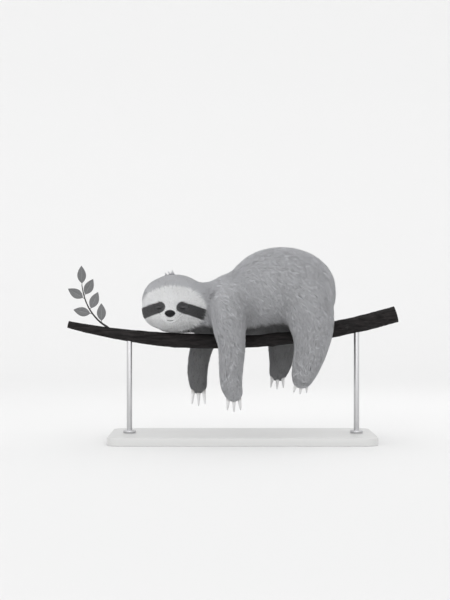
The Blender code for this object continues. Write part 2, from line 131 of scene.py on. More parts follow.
def ripple(points, wave, seed):
    """Smooth noise from about -1 to 1, with features about one wave across."""
    random = np.random.default_rng(seed)
    ways = random.normal(size=(3, 9)) * (2 * math.pi / wave / 1.7)
    return np.sin(points @ ways + random.uniform(0, 2 * math.pi, 9)).mean(axis=1) * 1.8


def together(*values):
    """The values side by side for each point, with a plain number the same at every point."""
    return np.stack(np.broadcast_arrays(*values), axis=1)


def unit(vectors):
    return vectors / np.maximum(np.linalg.norm(vectors, axis=-1, keepdims=True), 1e-9)


# ---- Meshes -------------------------------------------------------------------------------------
def new_object(name, mesh, *looks):
    mesh.name = name
    made = bpy.data.objects.new(name, mesh)
    bpy.context.scene.collection.objects.link(made)
    for look in looks:
        mesh.materials.append(look)
    return made


def mesh_of(work):
    """Ends a bmesh, with its faces outwards and smooth."""
    bmesh.ops.recalc_face_normals(work, faces=work.faces)
    mesh = bpy.data.meshes.new("made")
    work.to_mesh(mesh)
    work.free()
    mesh.shade_smooth()
    return mesh


def settle(obj):
    """Turns an object's modifiers into its mesh."""
    bpy.context.view_layer.update()
    evaluated = obj.evaluated_get(bpy.context.evaluated_depsgraph_get())
    mesh = bpy.data.meshes.new_from_object(evaluated)
    old = obj.data
    obj.modifiers.clear()
    obj.data = mesh
    bpy.data.meshes.remove(old)


def rounded(node, name):
    """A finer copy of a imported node, with its flat facets drawn smooth."""
    work = bmesh.new()
    work.from_mesh(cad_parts[node].data)
    bmesh.ops.remove_doubles(work, verts=work.verts, dist=1e-5)
    bmesh.ops.join_triangles(
        work, faces=work.faces, angle_face_threshold=1.0, angle_shape_threshold=3.2
    )
    piece = new_object(name, mesh_of(work))
    finer = piece.modifiers.new("finer", "SUBSURF")
    finer.levels = finer.render_levels = 3
    settle(piece)
    piece.data.shade_smooth()
    return piece


def bar(around, along):
    """A bmesh of a round bar of radius 1, up Z from -0.5 to 0.5, with this many faces and cuts."""
    work = bmesh.new()
    bmesh.ops.create_cone(work, cap_ends=True, segments=around, radius1=1, radius2=1, depth=1.0)
    bmesh.ops.subdivide_edges(work, edges=upright_edges(work, 0.5), cuts=along)
    return work


def ball(half_sizes, around, up):
    work = bmesh.new()
    bmesh.ops.create_uvsphere(work, u_segments=around, v_segments=up, radius=1.0)
    bmesh.ops.scale(work, verts=work.verts, vec=half_sizes)
    return work


def upright_edges(work, rise):
    """The edges whose ends are more than this rise apart in height."""
    return [e for e in work.edges if abs(e.verts[0].co.z - e.verts[1].co.z) > rise]


def fill_box(work, node):
    """Scales and moves a bmesh of size 1 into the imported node's box."""
    low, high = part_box(node)
    bmesh.ops.scale(work, verts=work.verts, vec=high - low)
    bmesh.ops.translate(work, verts=work.verts, vec=(low + high) / 2)


def round_over(work, edges, ease, segments):
    bmesh.ops.bevel(
        work, geom=edges, offset=ease, segments=segments, profile=0.5, affect="EDGES", material=-1
    )


def read(mesh, name, size):
    values = np.empty(len(mesh.vertices) * size, np.float32)
    mesh.attributes[name].data.foreach_get("value" if size == 1 else "vector", values)
    return values.reshape(-1, size) if size > 1 else values


def write(mesh, name, values):
    kind, key = ("FLOAT", "value") if values.ndim == 1 else ("FLOAT_VECTOR", "vector")
    attribute = mesh.attributes.get(name) or mesh.attributes.new(name, kind, "POINT")
    attribute.data.foreach_set(key, np.ascontiguousarray(values, np.float32).ravel())


def vectors_of(rows, key):
    values = np.empty(len(rows) * 3, np.float32)
    rows.foreach_get(key, values)
    return values.reshape(-1, 3).astype(float)


def places_of(mesh):
    return vectors_of(mesh.vertices, "co")


def outwards_of(mesh):
    return vectors_of(mesh.vertex_normals, "vector")


def place_all(mesh, places):
    mesh.vertices.foreach_set("co", np.ascontiguousarray(places, np.float32).ravel())
    mesh.update()


class Neighbours:
    """The edges of a mesh, for evening out values from vertex to vertex."""

    def __init__(self, mesh):
        ends = np.empty(len(mesh.edges) * 2, np.int32)
        mesh.edges.foreach_get("vertices", ends)
        ends = ends.reshape(-1, 2)
        self.here = np.concatenate([ends[:, 0], ends[:, 1]])
        self.there = np.concatenate([ends[:, 1], ends[:, 0]])
        self.count = np.maximum(np.bincount(self.here, minlength=len(mesh.vertices)), 1)

    def even(self, values, times):
        """The values after each vertex has taken on a part of its neighbours', this many times."""
        if values.ndim == 1:
            return self.even(values[:, None], times)[:, 0]
        values = values.copy()
        for _ in range(times):
            for column in range(values.shape[1]):
                near = np.bincount(
                    self.here, values[self.there, column], minlength=len(self.count)
                )
                values[:, column] = 0.4 * values[:, column] + 0.6 * near / self.count
        return values

    def parting(self, places, ways):
        """How fast the ways run apart at each vertex, per metre: below zero where they meet."""
        gap = places[self.there] - places[self.here]
        apart = ((ways[self.there] - ways[self.here]) * gap).sum(axis=1) / (gap**2).sum(axis=1)
        return 2 * np.bincount(self.here, apart, minlength=len(self.count)) / self.count


# ---- Shader maths -------------------------------------------------------------------------------
class Wire:
    """A socket of a material that is being made, with Python's arithmetic on numbers."""

    def __init__(self, paint, socket):
        self.paint, self.socket = paint, socket

    def __add__(self, other):
        return self.paint.maths("ADD", self, other)

    __radd__ = __add__

    def __sub__(self, other):
        return self.paint.maths("SUBTRACT", self, other)

    def __rsub__(self, other):
        return self.paint.maths("SUBTRACT", other, self)

    def __mul__(self, other):
        return self.paint.maths("MULTIPLY", self, other)

    __rmul__ = __mul__

    def __pow__(self, other):
        return self.paint.maths("POWER", self, other)


class Paint:
    """A material with one Principled shader, and the nodes that feed it."""

    def __init__(self, name, **constants):
        self.material = bpy.data.materials.new(name)
        self.material.use_nodes = True
        self.nodes = self.material.node_tree.nodes
        self.links = self.material.node_tree.links
        self.shader = self.nodes["Principled BSDF"]
        for socket, value in constants.items():
            self.put(socket.replace("_", " "), value)

    def node(self, kind, settings, sockets, out=0):
        """Adds a node with these settings, feeds its sockets, and gives its output."""
        made = self.nodes.new(kind)
        for name, value in settings.items():
            if name == "stops":
                ramp = made.color_ramp.elements
                while len(ramp) < len(value):
                    ramp.new(0.5)
                for stop, (at, shade) in zip(ramp, value):
                    stop.position = at
                    stop.color = (shade, shade, shade, 1)
            else:
                setattr(made, name, value)
        for key, value in sockets.items():
            self.feed(made.inputs[key], value)
        return Wire(self, made.outputs[out])

    def feed(self, socket, value):
        if isinstance(value, Wire):
            self.links.new(value.socket, socket)
        elif socket.type == "RGBA" and len(value) == 3:
            socket.default_value = (*value, 1)
        else:
            socket.default_value = value

    def put(self, name, value):
        self.feed(self.shader.inputs[name], value)

    def maths(self, operation, *values):
        return self.node("ShaderNodeMath", {"operation": operation}, dict(enumerate(values)))

    def attribute(self, name):
        return self.node("ShaderNodeAttribute", {"attribute_name": name}, {}, "Fac")

    def place(self, scale=(1, 1, 1)):
        """Object coordinates, times a scale along each axis."""
        found = self.node("ShaderNodeTexCoord", {}, {}, "Object")
        return self.node("ShaderNodeMapping", {"vector_type": "POINT"}, {0: found, "Scale": scale})

    def part(self, vector, axis):
        """The X, Y or Z of a vector, as a number."""
        return self.node("ShaderNodeSeparateXYZ", {}, {0: vector}, axis)

    def noise(self, place, scale, detail=3.0, rough=0.5):
        sockets = {"Vector": place, "Scale": scale, "Detail": detail, "Roughness": rough}
        return self.node("ShaderNodeTexNoise", {}, sockets)

    def cells(self, place, scale):
        """Distance from the middle of the nearest cell, in cells."""
        sockets = {"Vector": place, "Scale": scale}
        return self.node("ShaderNodeTexVoronoi", {"feature": "F1"}, sockets, "Distance")

    def ramp(self, value, *stops):
        return self.node("ShaderNodeValToRGB", {"stops": stops}, {0: value})

    def mix(self, first, second, share):
        settings = {"data_type": "RGBA", "clamp_factor": True}
        return self.node("ShaderNodeMix", settings, {0: share, 6: first, 7: second}, 2)

    def tones(self, colour, low, high, share):
        """From one tone of a colour to another."""
        return self.mix(times(colour, low), times(colour, high), share)

    def bump(self, height, depth):
        """Feeds a height, from 0 to 1, of this depth in metres to the shader's normal."""
        self.put("Normal", self.node("ShaderNodeBump", {}, {"Height": height, "Distance": depth}))


def times(colour, tone):
    """A colour made darker or lighter, and no lighter than white."""
    return [min(1.0, part * tone) for part in colour]


# ---- What a user would change -------------------------------------------------------------------
def length_property(name, description, default):
    return bpy.props.FloatProperty(
        name=name, description=description, default=default, min=0.0, unit="LENGTH", precision=4
    )


def colour_property(name, description, default):
    return bpy.props.FloatVectorProperty(
        name=name, description=description, default=default, subtype="COLOR", min=0.0, max=1.0
    )


class CoatSettings(bpy.types.PropertyGroup):
    """Sizes and colours of the skin and the coat."""

    body_hair: length_property("Body hair", "Length of a tuft on the back and flanks", 0.032)
    limb_hair: length_property("Limb hair", "Length of a tuft on the arms and legs", 0.024)
    head_hair: length_property("Head hair", "Length of a tuft on the crown and cheeks", 0.019)
    face_hair: length_property("Face hair", "Length of a tuft on the pale face", 0.0085)
    body_depth: length_property("Body depth", "Thickness of the coat on the trunk", 0.012)
    density: bpy.props.FloatProperty(
        name="Density",
        description="Share of the full number of tufts",
        default=1.0,
        min=0.05,
        max=1.0,
    )
    grey: colour_property("Coat", "Colour of the coat", (0.625, 0.630, 0.652))
    pale: colour_property("Mask", "Colour of the pale face", (0.97, 0.975, 0.98))
    stripe: colour_property("Stripe", "Colour of the eye stripes", (0.070, 0.071, 0.074))
    # the underside darkens the inner limbs, partly as the coat's own colour, and the belly as
    # painted shade
    dark: colour_property("Underside", "Colour of the belly and inner limbs", (0.250, 0.252, 0.258))


class FaceSettings(bpy.types.PropertyGroup):
    """Sizes and colours of the bare parts of the face, and of the claws."""

    leather: colour_property("Leather", "Colour of the nose", (0.006, 0.006, 0.007))
    lid: colour_property("Lid", "Colour of the closed lids", (0.075, 0.075, 0.078))
    lash_length: length_property("Lashes", "Length of a lash", 0.0040)
    smile_width: length_property("Smile", "Width of the lips' line", 0.0135)
    horn: colour_property("Claw", "Colour of the claws", (0.80, 0.80, 0.80))


class WoodSettings(bpy.types.PropertyGroup):
    """Sizes and colours of the branch and the sprig."""

    ridge: length_property("Bark ridges", "Height of the ridges of the bark", 0.0011)
    bark: colour_property("Bark", "Colour of the bark", (0.010, 0.0085, 0.0085))
    heartwood: colour_property("Cut wood", "Colour of the sawn ends", (0.105, 0.090, 0.080))
    leaf: colour_property("Leaf", "Colour of the leaves", (0.130, 0.132, 0.135))


class StandSettings(bpy.types.PropertyGroup):
    """Colours of the display stand, and the studio's floor and lights."""

    lacquer: colour_property("Lacquer", "Colour of the base", (0.60, 0.60, 0.595))
    steel: colour_property("Steel", "Colour of the rods", (0.58, 0.58, 0.59))
    backdrop: colour_property("Backdrop", "Colour of the studio's floor", (0.80, 0.80, 0.80))
    sky: bpy.props.FloatProperty(
        name="Sky", description="Strength of the even light", default=1.12, min=0.0, max=3.0
    )
    key: bpy.props.FloatProperty(
        name="Key light", description="Power of the main light", default=27.0, min=0.0, unit="POWER"
    )


SETTINGS = {
    "sloth_coat": CoatSettings,
    "sloth_face": FaceSettings,
    "sloth_wood": WoodSettings,
    "sloth_stand": StandSettings,
}


# ---- The skin -----------------------------------------------------------------------------------
JOIN = 0.0005  # that the flesh nodes swell by, so that the cuts between them close
VOXEL = 0.0030  # of the remesh that makes them one surface
MUZZLE = (0, 0.058, -0.026)  # on the head: the middle of the skin that is made finer
MUZZLE_REACHES = (0.040, 0.032)  # how far from there it is made finer, each time
STRIPE_START = np.array((0.0240, -0.0112))  # of an eye stripe, across and up on the head
STRIPE_RUN = np.array((0.0800, -0.0290)) - STRIPE_START
BELLY = (0.225, 0.240)  # heights between which the painted shade along the belly begins


def whole_surface():
    """The flesh nodes as one closed surface, without the cuts between them: the coat's outside."""
    work = bmesh.new()
    for name in FLESH:
        work.from_mesh(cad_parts[name].data)
    bmesh.ops.remove_doubles(work, verts=work.verts, dist=1e-6)
    work.normal_update()
    for vertex in work.verts:
        vertex.co += vertex.normal * JOIN
    made = new_object("skin", mesh_of(work))
    remesh = made.modifiers.new("remesh", "REMESH")
    remesh.mode = "VOXEL"
    remesh.voxel_size = VOXEL
    soften = made.modifiers.new("soften", "SMOOTH")
    soften.factor = 0.5
    soften.iterations = 8
    settle(made)
    work = bmesh.new()
    work.from_mesh(made.data)
    middle = on_head(*MUZZLE)
    for reach in MUZZLE_REACHES:
        near = [e for e in work.edges if (e.verts[0].co - middle).length < reach]
        bmesh.ops.subdivide_edges(work, edges=near, cuts=1, use_grid_fill=True)
        close = [v for v in work.verts if (v.co - middle).length < reach + 0.004]
        for _ in range(2):
            bmesh.ops.smooth_vert(
                work, verts=close, factor=0.5, use_axis_x=True, use_axis_y=True, use_axis_z=True
            )
    bmesh.ops.triangulate(work, faces=[f for f in work.faces if len(f.verts) > 4])
    made.data.clear_geometry()
    work.to_mesh(made.data)
    work.free()
    made.data.shade_smooth()
    return made


def nearest_nodes(places):
    """The index in FLESH of the node nearest to each place."""
    corners, faces, owners = [], [], []
    for index, name in enumerate(FLESH):
        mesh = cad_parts[name].data
        start = len(corners)
        corners += [v.co.copy() for v in mesh.vertices]
        faces += [[start + i for i in p.vertices] for p in mesh.polygons]
        owners += [index] * len(mesh.polygons)
    tree = BVHTree.FromPolygons(corners, faces)
    return np.array([owners[tree.find_nearest(p)[2]] for p in places])


def limb_way(part, side):
    """The way that a limb runs at this part of it, from its middle to the next part's."""
    row = (*ARM, "claw_hand") if part in ARM else (*LEG, "claw_foot")
    following = f"{row[row.index(part) + 1]}_{side}"
    if following.startswith("claw"):
        following += "_2"
    return np.array((middle_of(following) - middle_of(f"{part}_{side}")).normalized())


def fields_of(places, outwards, settings):
    """The node that each point of the surface is on, the lie of the coat there, and five values.

    The values are the coat's depth, a tuft's length, its width, the tufts per square metre, and
    how much the point is on a limb.
    """
    owner = nearest_nodes(places)
    x, y, _ = places.T
    lie = np.zeros((len(places), 3))
    plain = np.zeros((len(places), 5))
    rump = smooth(x, 0.150, 0.225)
    top = smooth(outwards[:, 2], 0.05, 0.70)
    outer = np.tanh(y / 0.04) * top
    down = -0.75 * (1 - top) - 0.45 * rump
    over_body = together(0.75 - 0.60 * rump * (1 - 0.4 * top), 0.70 * outer, down)
    over_neck = together(0.9, 0.4 * outer, -0.45 * (1 - top))
    over_limb = together(0.45, 0.9 * np.sign(y), -0.3)
    body, limb, head = settings.body_hair, settings.limb_hair, settings.head_hair
    depth = settings.body_depth
    upper = (0.85 * depth, 1.1 * limb, 0.0010, 42e4, 1)
    lower = (0.65 * depth, limb, 0.0010, 40e4, 1)
    end = (0.28 * depth, 0.42 * limb, 0.00085, 58e4, 1)
    values = {
        "head": (0.40 * depth, head, 0.00085, 60e4, 0),
        "neck": (0.80 * depth, 0.75 * body, 0.0011, 50e4, 0),
        "trunk": (depth, body, 0.0012, 46e4, 0),
        "tail": (0.45 * depth, 0.6 * body, 0.0010, 50e4, 0),
        **dict(zip(ARM, (upper, lower, end))),
        **dict(zip(LEG, (upper, lower, end))),
    }
    for index, node in enumerate(FLESH):
        mine = owner == index
        part, _, side = node.rpartition("_") if node.endswith(SIDES) else (node, "", "")
        plain[mine] = values[part]
        if part == "trunk":
            lie[mine] = over_body[mine]
        elif part == "neck":
            lie[mine] = over_neck[mine]
        elif part == "tail":
            lie[mine] = (0.1, 0.25, -1.0)
        elif part != "head":
            way = limb_way(part, side) + (0.35 * (part == "upper_arm"), 0, 0)
            lie[mine] = way + top[mine, None] * (over_limb[mine] - way)
    on_it = owner == FLESH.index("head")
    behind = smooth(-head_coordinates(places)[1], -0.012, 0.045)[:, None]
    away = unit(places - np.array(middle_of("nose"))) + behind * np.array((0.9, 0.25, -0.35))
    lie[on_it] = unit(away)[on_it]
    return owner, lie, plain


def eye_gap(across, up):
    """0 at the middle of an eye, and 1 at the rim of its socket."""
    return np.hypot((np.abs(across) - EYE_ACROSS) / 0.0130, (up - EYE_UP) / 0.0080)


def seam_gap(across, up):
    """Height above the seam where the lids meet, across and up from the middle of the eye."""
    return up + 0.0020 - 0.0032 * (across / SEAM_HALF) ** 2


def smile_gap(across, up):
    """Height above the line of the lips, across and up on the head."""
    return up + 0.0412 - 0.0036 * (across / 0.0100) ** 2


def face_share(places):
    """1 on the short-haired face, falling to 0 where the long hair of the head begins."""
    across, forward, up = head_coordinates(places)
    oval = np.hypot((across - 0.001) / 0.066, (up + 0.0140) / 0.048)
    return (1 - smooth(oval, 0.74, 1.10)) * smooth(forward, -0.006, 0.014)


def markings(places, outwards, limb):
    """Shares of the pale mask, dark eye stripes and dark underside (partly painted shade) at each
    place.
    """
    across, forward, up = head_coordinates(places)
    oval = np.hypot((across - 0.0010) / 0.0750, (up + 0.0140) / 0.0500)
    pale = (1 - smooth(oval, 0.96, 1.02)) * smooth(forward, -0.014, 0.000)
    out, rise = np.abs(across) - STRIPE_START[0], up - STRIPE_START[1]
    share = (out * STRIPE_RUN[0] + rise * STRIPE_RUN[1]) / (STRIPE_RUN @ STRIPE_RUN)
    share = np.clip(share, 0, 1)
    gap = np.hypot(out - share * STRIPE_RUN[0], rise - share * STRIPE_RUN[1])
    stripe = (1 - smooth(gap, 0.0110, 0.0128)) * pale
    x, y, z = places.T
    # partly painted shade: the inner side of each limb is darkened, which shows on the far limbs
    # from the front
    inner = smooth(-outwards[:, 1] * np.sign(y), -0.12, 0.22) * limb * (1 - smooth(z, 0.235, 0.262))
    # painted shade: a dark band low along the trunk, just above the branch, where the belly lies in
    # shade
    shade_hem = 0.2560 + 0.075 * np.clip(x - 0.01, 0, 0.12) + 0.0015 * np.sin(x * 260)
    facing = np.maximum(smooth(-outwards[:, 2], -0.45, 0.05), 1 - smooth(x, 0.14, 0.17))
    below = (1 - smooth(z, shade_hem - 0.003, shade_hem + 0.004)) * facing
    under = smooth(-outwards[:, 2], 0.35, 0.70) * smooth(z, *BELLY)
    on_limb = smooth(limb, 0.25, 0.75) * (1 - under)
    off_head = 1 - smooth(face_share(places), 0.0, 0.2)
    dark = np.maximum(inner, below * (1 - on_limb)) * off_head
    return pale, stripe, dark * (1 - pale)


def face_relief(places):
    """How far the skin of the face stands out or in."""
    across, forward, up = head_coordinates(places)
    wide = np.abs(across)
    eye, smile = eye_gap(across, up), smile_gap(across, up)
    eyeball, socket = bell((eye, 0.85), power=4), bell((eye - 1.35, 0.40))
    muzzle = bell((across, 0.017), (up + 0.0310, 0.0150))
    brow = bell((wide - 0.024, 0.014), (up - 0.0035, 0.0055))
    height = 0.0010 * eyeball - 0.0013 * socket + 0.0026 * muzzle + 0.0013 * brow
    mouth = 1 - smooth(wide, 0.009, 0.013)
    height -= 0.0016 * bell((smile, 0.0011)) * mouth
    height += 0.0007 * bell((smile - 0.0032, 0.0022)) * mouth
    height += 0.0007 * bell((smile + 0.0034, 0.0024)) * mouth
    parting = bell((across, 0.0009)) * smooth(up, -0.042, -0.038) * (up < -0.030)
    height -= 0.0009 * parting
    fold = np.hypot(wide - 0.006, up + 0.030) - 0.0165
    height -= 0.0007 * bell((fold, 0.0014)) * (wide > 0.011) * (up < -0.026)
    return height * smooth(forward, 0.012, 0.030)


def marked(paint, settings, tone):
    """The coat's colour with its mask, stripes and dark underside (partly painted shade), times
    tone.
    """
    grey, dark = times(settings.grey, tone), times(settings.dark, tone)
    shade = paint.mix(grey, dark, paint.attribute("dark"))
    shade = paint.mix(shade, times(settings.pale, tone), paint.attribute("pale"))
    return paint.mix(shade, times(settings.stripe, tone), paint.attribute("stripe"))


class SLOTH_OT_skin(bpy.types.Operator):
    """Make the one skin under the coat, with the folds of the face and the markings"""

    bl_idname = "sloth.skin"
    bl_label = "Skin"

    UNDER = 0.0005  # that the skin lies deeper than the coat is thick
    CHIN_REACH = 0.0060  # that the hair under the chin may reach down to the bark
    THROAT_REACH = 0.0060  # that the hair under the throat may reach further than that

    def execute(self, context):
        settings = context.scene.sloth_coat
        skin = whole_surface()
        mesh = skin.data
        places, net = places_of(mesh), Neighbours(mesh)
        outwards = unit(net.even(outwards_of(mesh), 6))
        owner, lie, plain = fields_of(places, outwards, settings)
        lie, plain = net.even(lie, 350), net.even(plain, 40)
        face, limb = face_share(places), plain[:, 4]
        depth, length, width, count = self.on_face(places, plain[:, :4], face, settings).T
        depth = toward(depth, 0.0024, 1 - smooth(self.branch_gap(places), 0.003, 0.022))
        depth = net.even(depth, 8)
        swirl = np.stack([ripple(places, 0.055, seed) for seed in (11, 12, 13)], axis=1)
        lie = unit(lie) + 0.08 * swirl * (1 - 0.7 * face[:, None])
        lie = unit(lie - outwards * (lie * outwards).sum(axis=1, keepdims=True))
        apart = net.even(net.parting(places, lie), 6) * (1 - face)
        count = count * (1 + np.clip((apart - 8) / 26, 0, 1.8))
        pale, stripe, dark = markings(places, outwards, limb)
        across = head_coordinates(places)[0]
        cheek = smooth(np.abs(across), 0.030, 0.064) * (owner == FLESH.index("head"))
        cheek = net.even(cheek, 20) * (1 - smooth(across, 0.03, 0.07) * 0.5)
        under = places + outwards * (0.0034 * cheek - depth - self.UNDER)[:, None]
        under = net.even(under, 2)
        under += outwards * face_relief(places)[:, None]
        place_all(mesh, under)
        depth = self.down_to_bark(under, outwards, depth, across)
        for name, values in (
            ("lie", lie), ("depth", depth), ("length", length), ("width", width),
            ("count", count), ("face", face), ("pale", pale), ("stripe", stripe),
            ("dark", dark), ("limb", limb), ("part", owner.astype(float)),
            ("outward", outwards),
        ):
            write(mesh, name, values)
        self.unwrap(skin)
        mesh.materials.append(self.look(settings))
        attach(skin, "root")
        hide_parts(*FLESH)
        return {"FINISHED"}

    def on_face(self, places, hair, face, settings):
        """The hair's depth, length, width and count, made short on the face, lids and lips."""
        nose_gap = np.linalg.norm(places - np.array(middle_of("nose")), axis=1)
        tight = 1 - smooth(nose_gap, 0.012, 0.034)
        short = settings.face_hair * (1 - 0.58 * tight)
        goal = together(0.0025 - 0.0009 * tight, short, 0.00062, 120e4 + 30e4 * tight)
        hair = toward(hair, goal, face[:, None])
        across, forward, up = head_coordinates(places)
        eye = bell((eye_gap(across, up), 1.1), power=4) * (forward > 0.02)
        hair = toward(hair, np.array((0.0011, 0.0034, 0.00050, 170e4)), eye[:, None])
        mouth = bell((smile_gap(across, up) - 0.0015, 0.0030)) * (np.abs(across) < 0.012)
        mouth *= forward > 0.02
        hair[:, :2] = toward(hair[:, :2], np.array((0.0010, 0.0022)), mouth[:, None])
        return hair

    def branch_gap(self, places):
        """Distance from each place to the bark."""
        line = np.array([branch_line(x) for x in places[:, 0]])
        away = np.hypot(places[:, 1], (places[:, 2] - line[:, 0]) * line[:, 2])
        return np.abs(away - line[:, 1])

    def down_to_bark(self, places, outwards, depth, across):
        """The coat's depth, with more of it where the chin and the throat hang over the branch."""
        gap = self.branch_gap(places)
        throat = self.THROAT_REACH * smooth(across, 0.008, 0.020)
        resting = (1 - smooth(gap - throat, 0.0050, 0.0085)) * smooth(-outwards[:, 2], 0.2, 0.6)
        reach = np.minimum(gap - 0.0002, self.CHIN_REACH + throat)
        return toward(depth, np.maximum(depth, reach), resting)

    def unwrap(self, skin):
        bpy.ops.object.select_all(action="DESELECT")
        bpy.context.view_layer.objects.active = skin
        skin.select_set(True)
        bpy.ops.object.mode_set(mode="EDIT")
        bpy.ops.mesh.select_all(action="SELECT")
        bpy.ops.uv.smart_project(angle_limit=math.radians(80), island_margin=0.004)
        bpy.ops.object.mode_set(mode="OBJECT")
        skin.data.uv_layers[0].name = "OFBake"

    def look(self, settings):
        """Dark, dry skin with the coat's markings, under the hair."""
        paint = Paint("skin", Roughness=0.85)
        grain = paint.noise(paint.place(), 900.0, 4.0)
        shade = marked(paint, settings, 0.85)
        paint.put("Base Color", paint.mix(shade, (0.02, 0.02, 0.02), grain * 0.25))
        wrinkle = paint.cells(paint.place(scale=(1.0, 1.0, 1.6)), 620.0)
        paint.bump(grain * 0.5 + wrinkle * 0.5, 0.0004)
        return paint.material


# ---- The coat -----------------------------------------------------------------------------------
MOST_TRIANGLES = 190_000  # in one piece of the coat
TAPER = np.array((0.8, 1.0))  # a tuft's width at its root and at its bend, of its full width
STEPS = len(TAPER)  # from a tuft's root to its point
TUFT_TRIANGLES = 4 + 6 * (STEPS - 1)
PATCH = 0.0015  # half the size of a tuft's place on the unwrap
LOOSE_WIDTHS = (0.0006, 0.0005)  # of a tuft in the standing locks, at its root and its bend


class Ground:
    """The skin as triangles, with the coat's values on each, to root and lead the tufts."""

    def __init__(self, skin):
        mesh = skin.data
        mesh.calc_loop_triangles()
        triangles = np.empty(len(mesh.loop_triangles) * 3, np.int32)
        mesh.loop_triangles.foreach_get("vertices", triangles)
        loops = np.empty(len(mesh.loop_triangles) * 3, np.int32)
        mesh.loop_triangles.foreach_get("loops", loops)
        self.triangles = triangles.reshape(-1, 3)
        spread = np.empty(len(mesh.loops) * 2, np.float32)
        mesh.uv_layers["OFBake"].data.foreach_get("uv", spread)
        self.spread = spread.reshape(-1, 2)[loops.reshape(-1, 3)]
        self.places = places_of(mesh)
        corners = self.places[self.triangles]
        cross = np.cross(corners[:, 1] - corners[:, 0], corners[:, 2] - corners[:, 0])
        self.area = np.linalg.norm(cross, axis=1) / 2
        self.lie = unit(read(mesh, "lie", 3)[self.triangles].mean(axis=1))
        self.outward = unit(outwards_of(mesh)[self.triangles].mean(axis=1))
        for name in ("depth", "length", "width", "count", "face", "limb"):
            setattr(self, name, read(mesh, name, 1)[self.triangles].mean(axis=1))
        self.part = read(mesh, "part", 1)[self.triangles[:, 0]].astype(int)
        self.tree = BVHTree.FromPolygons(self.places.tolist(), self.triangles.tolist())

    def on(self, *nodes):
        """True for each triangle that is on one of these nodes."""
        return np.isin(self.part, [FLESH.index(node) for node in nodes])

    def roots(self, chosen, share, random):
        """Random roots on the chosen triangles: their places, triangles and spots on the unwrap."""
        wanted = self.area[chosen] * self.count[chosen] * share
        number = int(wanted.sum())
        drawn = random.choice(len(wanted), number, p=wanted / wanted.sum())
        picked = np.flatnonzero(chosen)[drawn]
        one, two = random.random((2, number))
        fold = one + two > 1
        one[fold], two[fold] = 1 - one[fold], 1 - two[fold]
        weights = np.stack([1 - one - two, one, two], axis=1)[:, :, None]
        places = (self.places[self.triangles[picked]] * weights).sum(axis=1)
        return places, picked, (self.spread[picked] * weights).sum(axis=1)

    def nearest(self, places):
        """The nearest place on the skin to each place, and the triangle it is on."""
        found = [self.tree.find_nearest(p)[::2] for p in places.tolist()]
        return np.array([f[0] for f in found]), np.array([f[1] for f in found])

    def hit(self, start, way):
        """Where a line from start, running this way, meets the skin."""
        return self.tree.ray_cast(start, way)[0]

    def walk(self, places, picked, lengths, lean, lift):
        """Each tuft's stations along the lie of the coat, turned by lean, and the way up at each.

        They rise from the skin to the outside of the coat, times lift.
        """
        stations, ups = [], []
        for step in range(STEPS + 1):
            up, along = self.outward[picked], self.lie[picked]
            side = np.cross(up, along)
            way = unit(along * np.cos(lean)[:, None] + side * np.sin(lean)[:, None])
            share = step / STEPS
            rise = math.sin(0.5 * math.pi * share) ** 0.85
            height = self.depth[picked] * rise * lift - 0.0004 * (1 - share)
            stations.append(places + up * height[:, None])
            ups.append(up)
            if step < STEPS:
                places, picked = self.nearest(places + way * (lengths / STEPS)[:, None])
        return np.stack(stations, 1), np.stack(ups, 1)


def tuft_mesh(stations, ups, widths, spread, values):
    """One mesh of closed, three-sided, tapering tufts, each through its stations to its point."""
    number, rings = stations.shape[0], stations.shape[1] - 1
    step = unit(np.diff(stations, axis=1))
    half = widths[:, :, None] / 2
    side = unit(np.cross(step, ups[:, :rings]))
    top = unit(np.cross(side, step))
    base = stations[:, :rings]
    ring = np.stack([base - side * half, base + side * half, base + top * half * 0.75], axis=2)
    places = np.concatenate([ring.reshape(number, rings * 3, 3), stations[:, rings:]], axis=1)
    faces = [(0, 1, 2)]
    for r in range(rings - 1):
        for j in range(3):
            a, b = 3 * r + j, 3 * r + (j + 1) % 3
            faces += [(a, a + 3, b), (b, a + 3, b + 3)]
    last = 3 * (rings - 1)
    faces += [(last + j, last + 3, last + (j + 1) % 3) for j in range(3)]
    faces = np.array(faces)
    first = places[0]
    volume = sum(np.dot(first[a], np.cross(first[b], first[c])) for a, b, c in faces)
    if volume < 0:
        faces = faces[:, ::-1]
    each = places.shape[1]
    corners = (faces[None] + each * np.arange(number)[:, None, None]).reshape(-1)
    mesh = bpy.data.meshes.new("tufts")
    mesh.vertices.add(number * each)
    mesh.vertices.foreach_set("co", places.astype(np.float32).ravel())
    mesh.loops.add(len(corners))
    mesh.loops.foreach_set("vertex_index", corners.astype(np.int32))
    mesh.polygons.add(len(corners) // 3)
    mesh.polygons.foreach_set("loop_start", np.arange(0, len(corners), 3, dtype=np.int32))
    mesh.update(calc_edges=True)
    mesh.shade_smooth()
    along = np.append(np.repeat(np.arange(rings) / rings, 3), 1.0)
    lateral = np.append(np.tile([-1.0, 1.0, 0.0], rings), 0.0)
    patch = PATCH * np.stack([lateral, 2 * along - 1], axis=1)
    layer = mesh.uv_layers.new(name="OFBake")
    flat = (spread[:, None] + patch[None]).reshape(-1, 2)[corners]
    layer.data.foreach_set("uv", flat.astype(np.float32).ravel())
    write(mesh, "along", np.tile(along, number))
    for name, value in values.items():
        write(mesh, name, np.repeat(value, each))
    return mesh


def front_tufts(stations, widths, spread, values):
    """A mesh of tufts on the head that were placed one by one, with their backs to the front."""
    ups = np.tile(np.array(HEAD_FRONT), (*stations.shape[:2], 1))
    return tuft_mesh(stations, ups, np.tile(widths, (len(stations), 1)), spread, values)


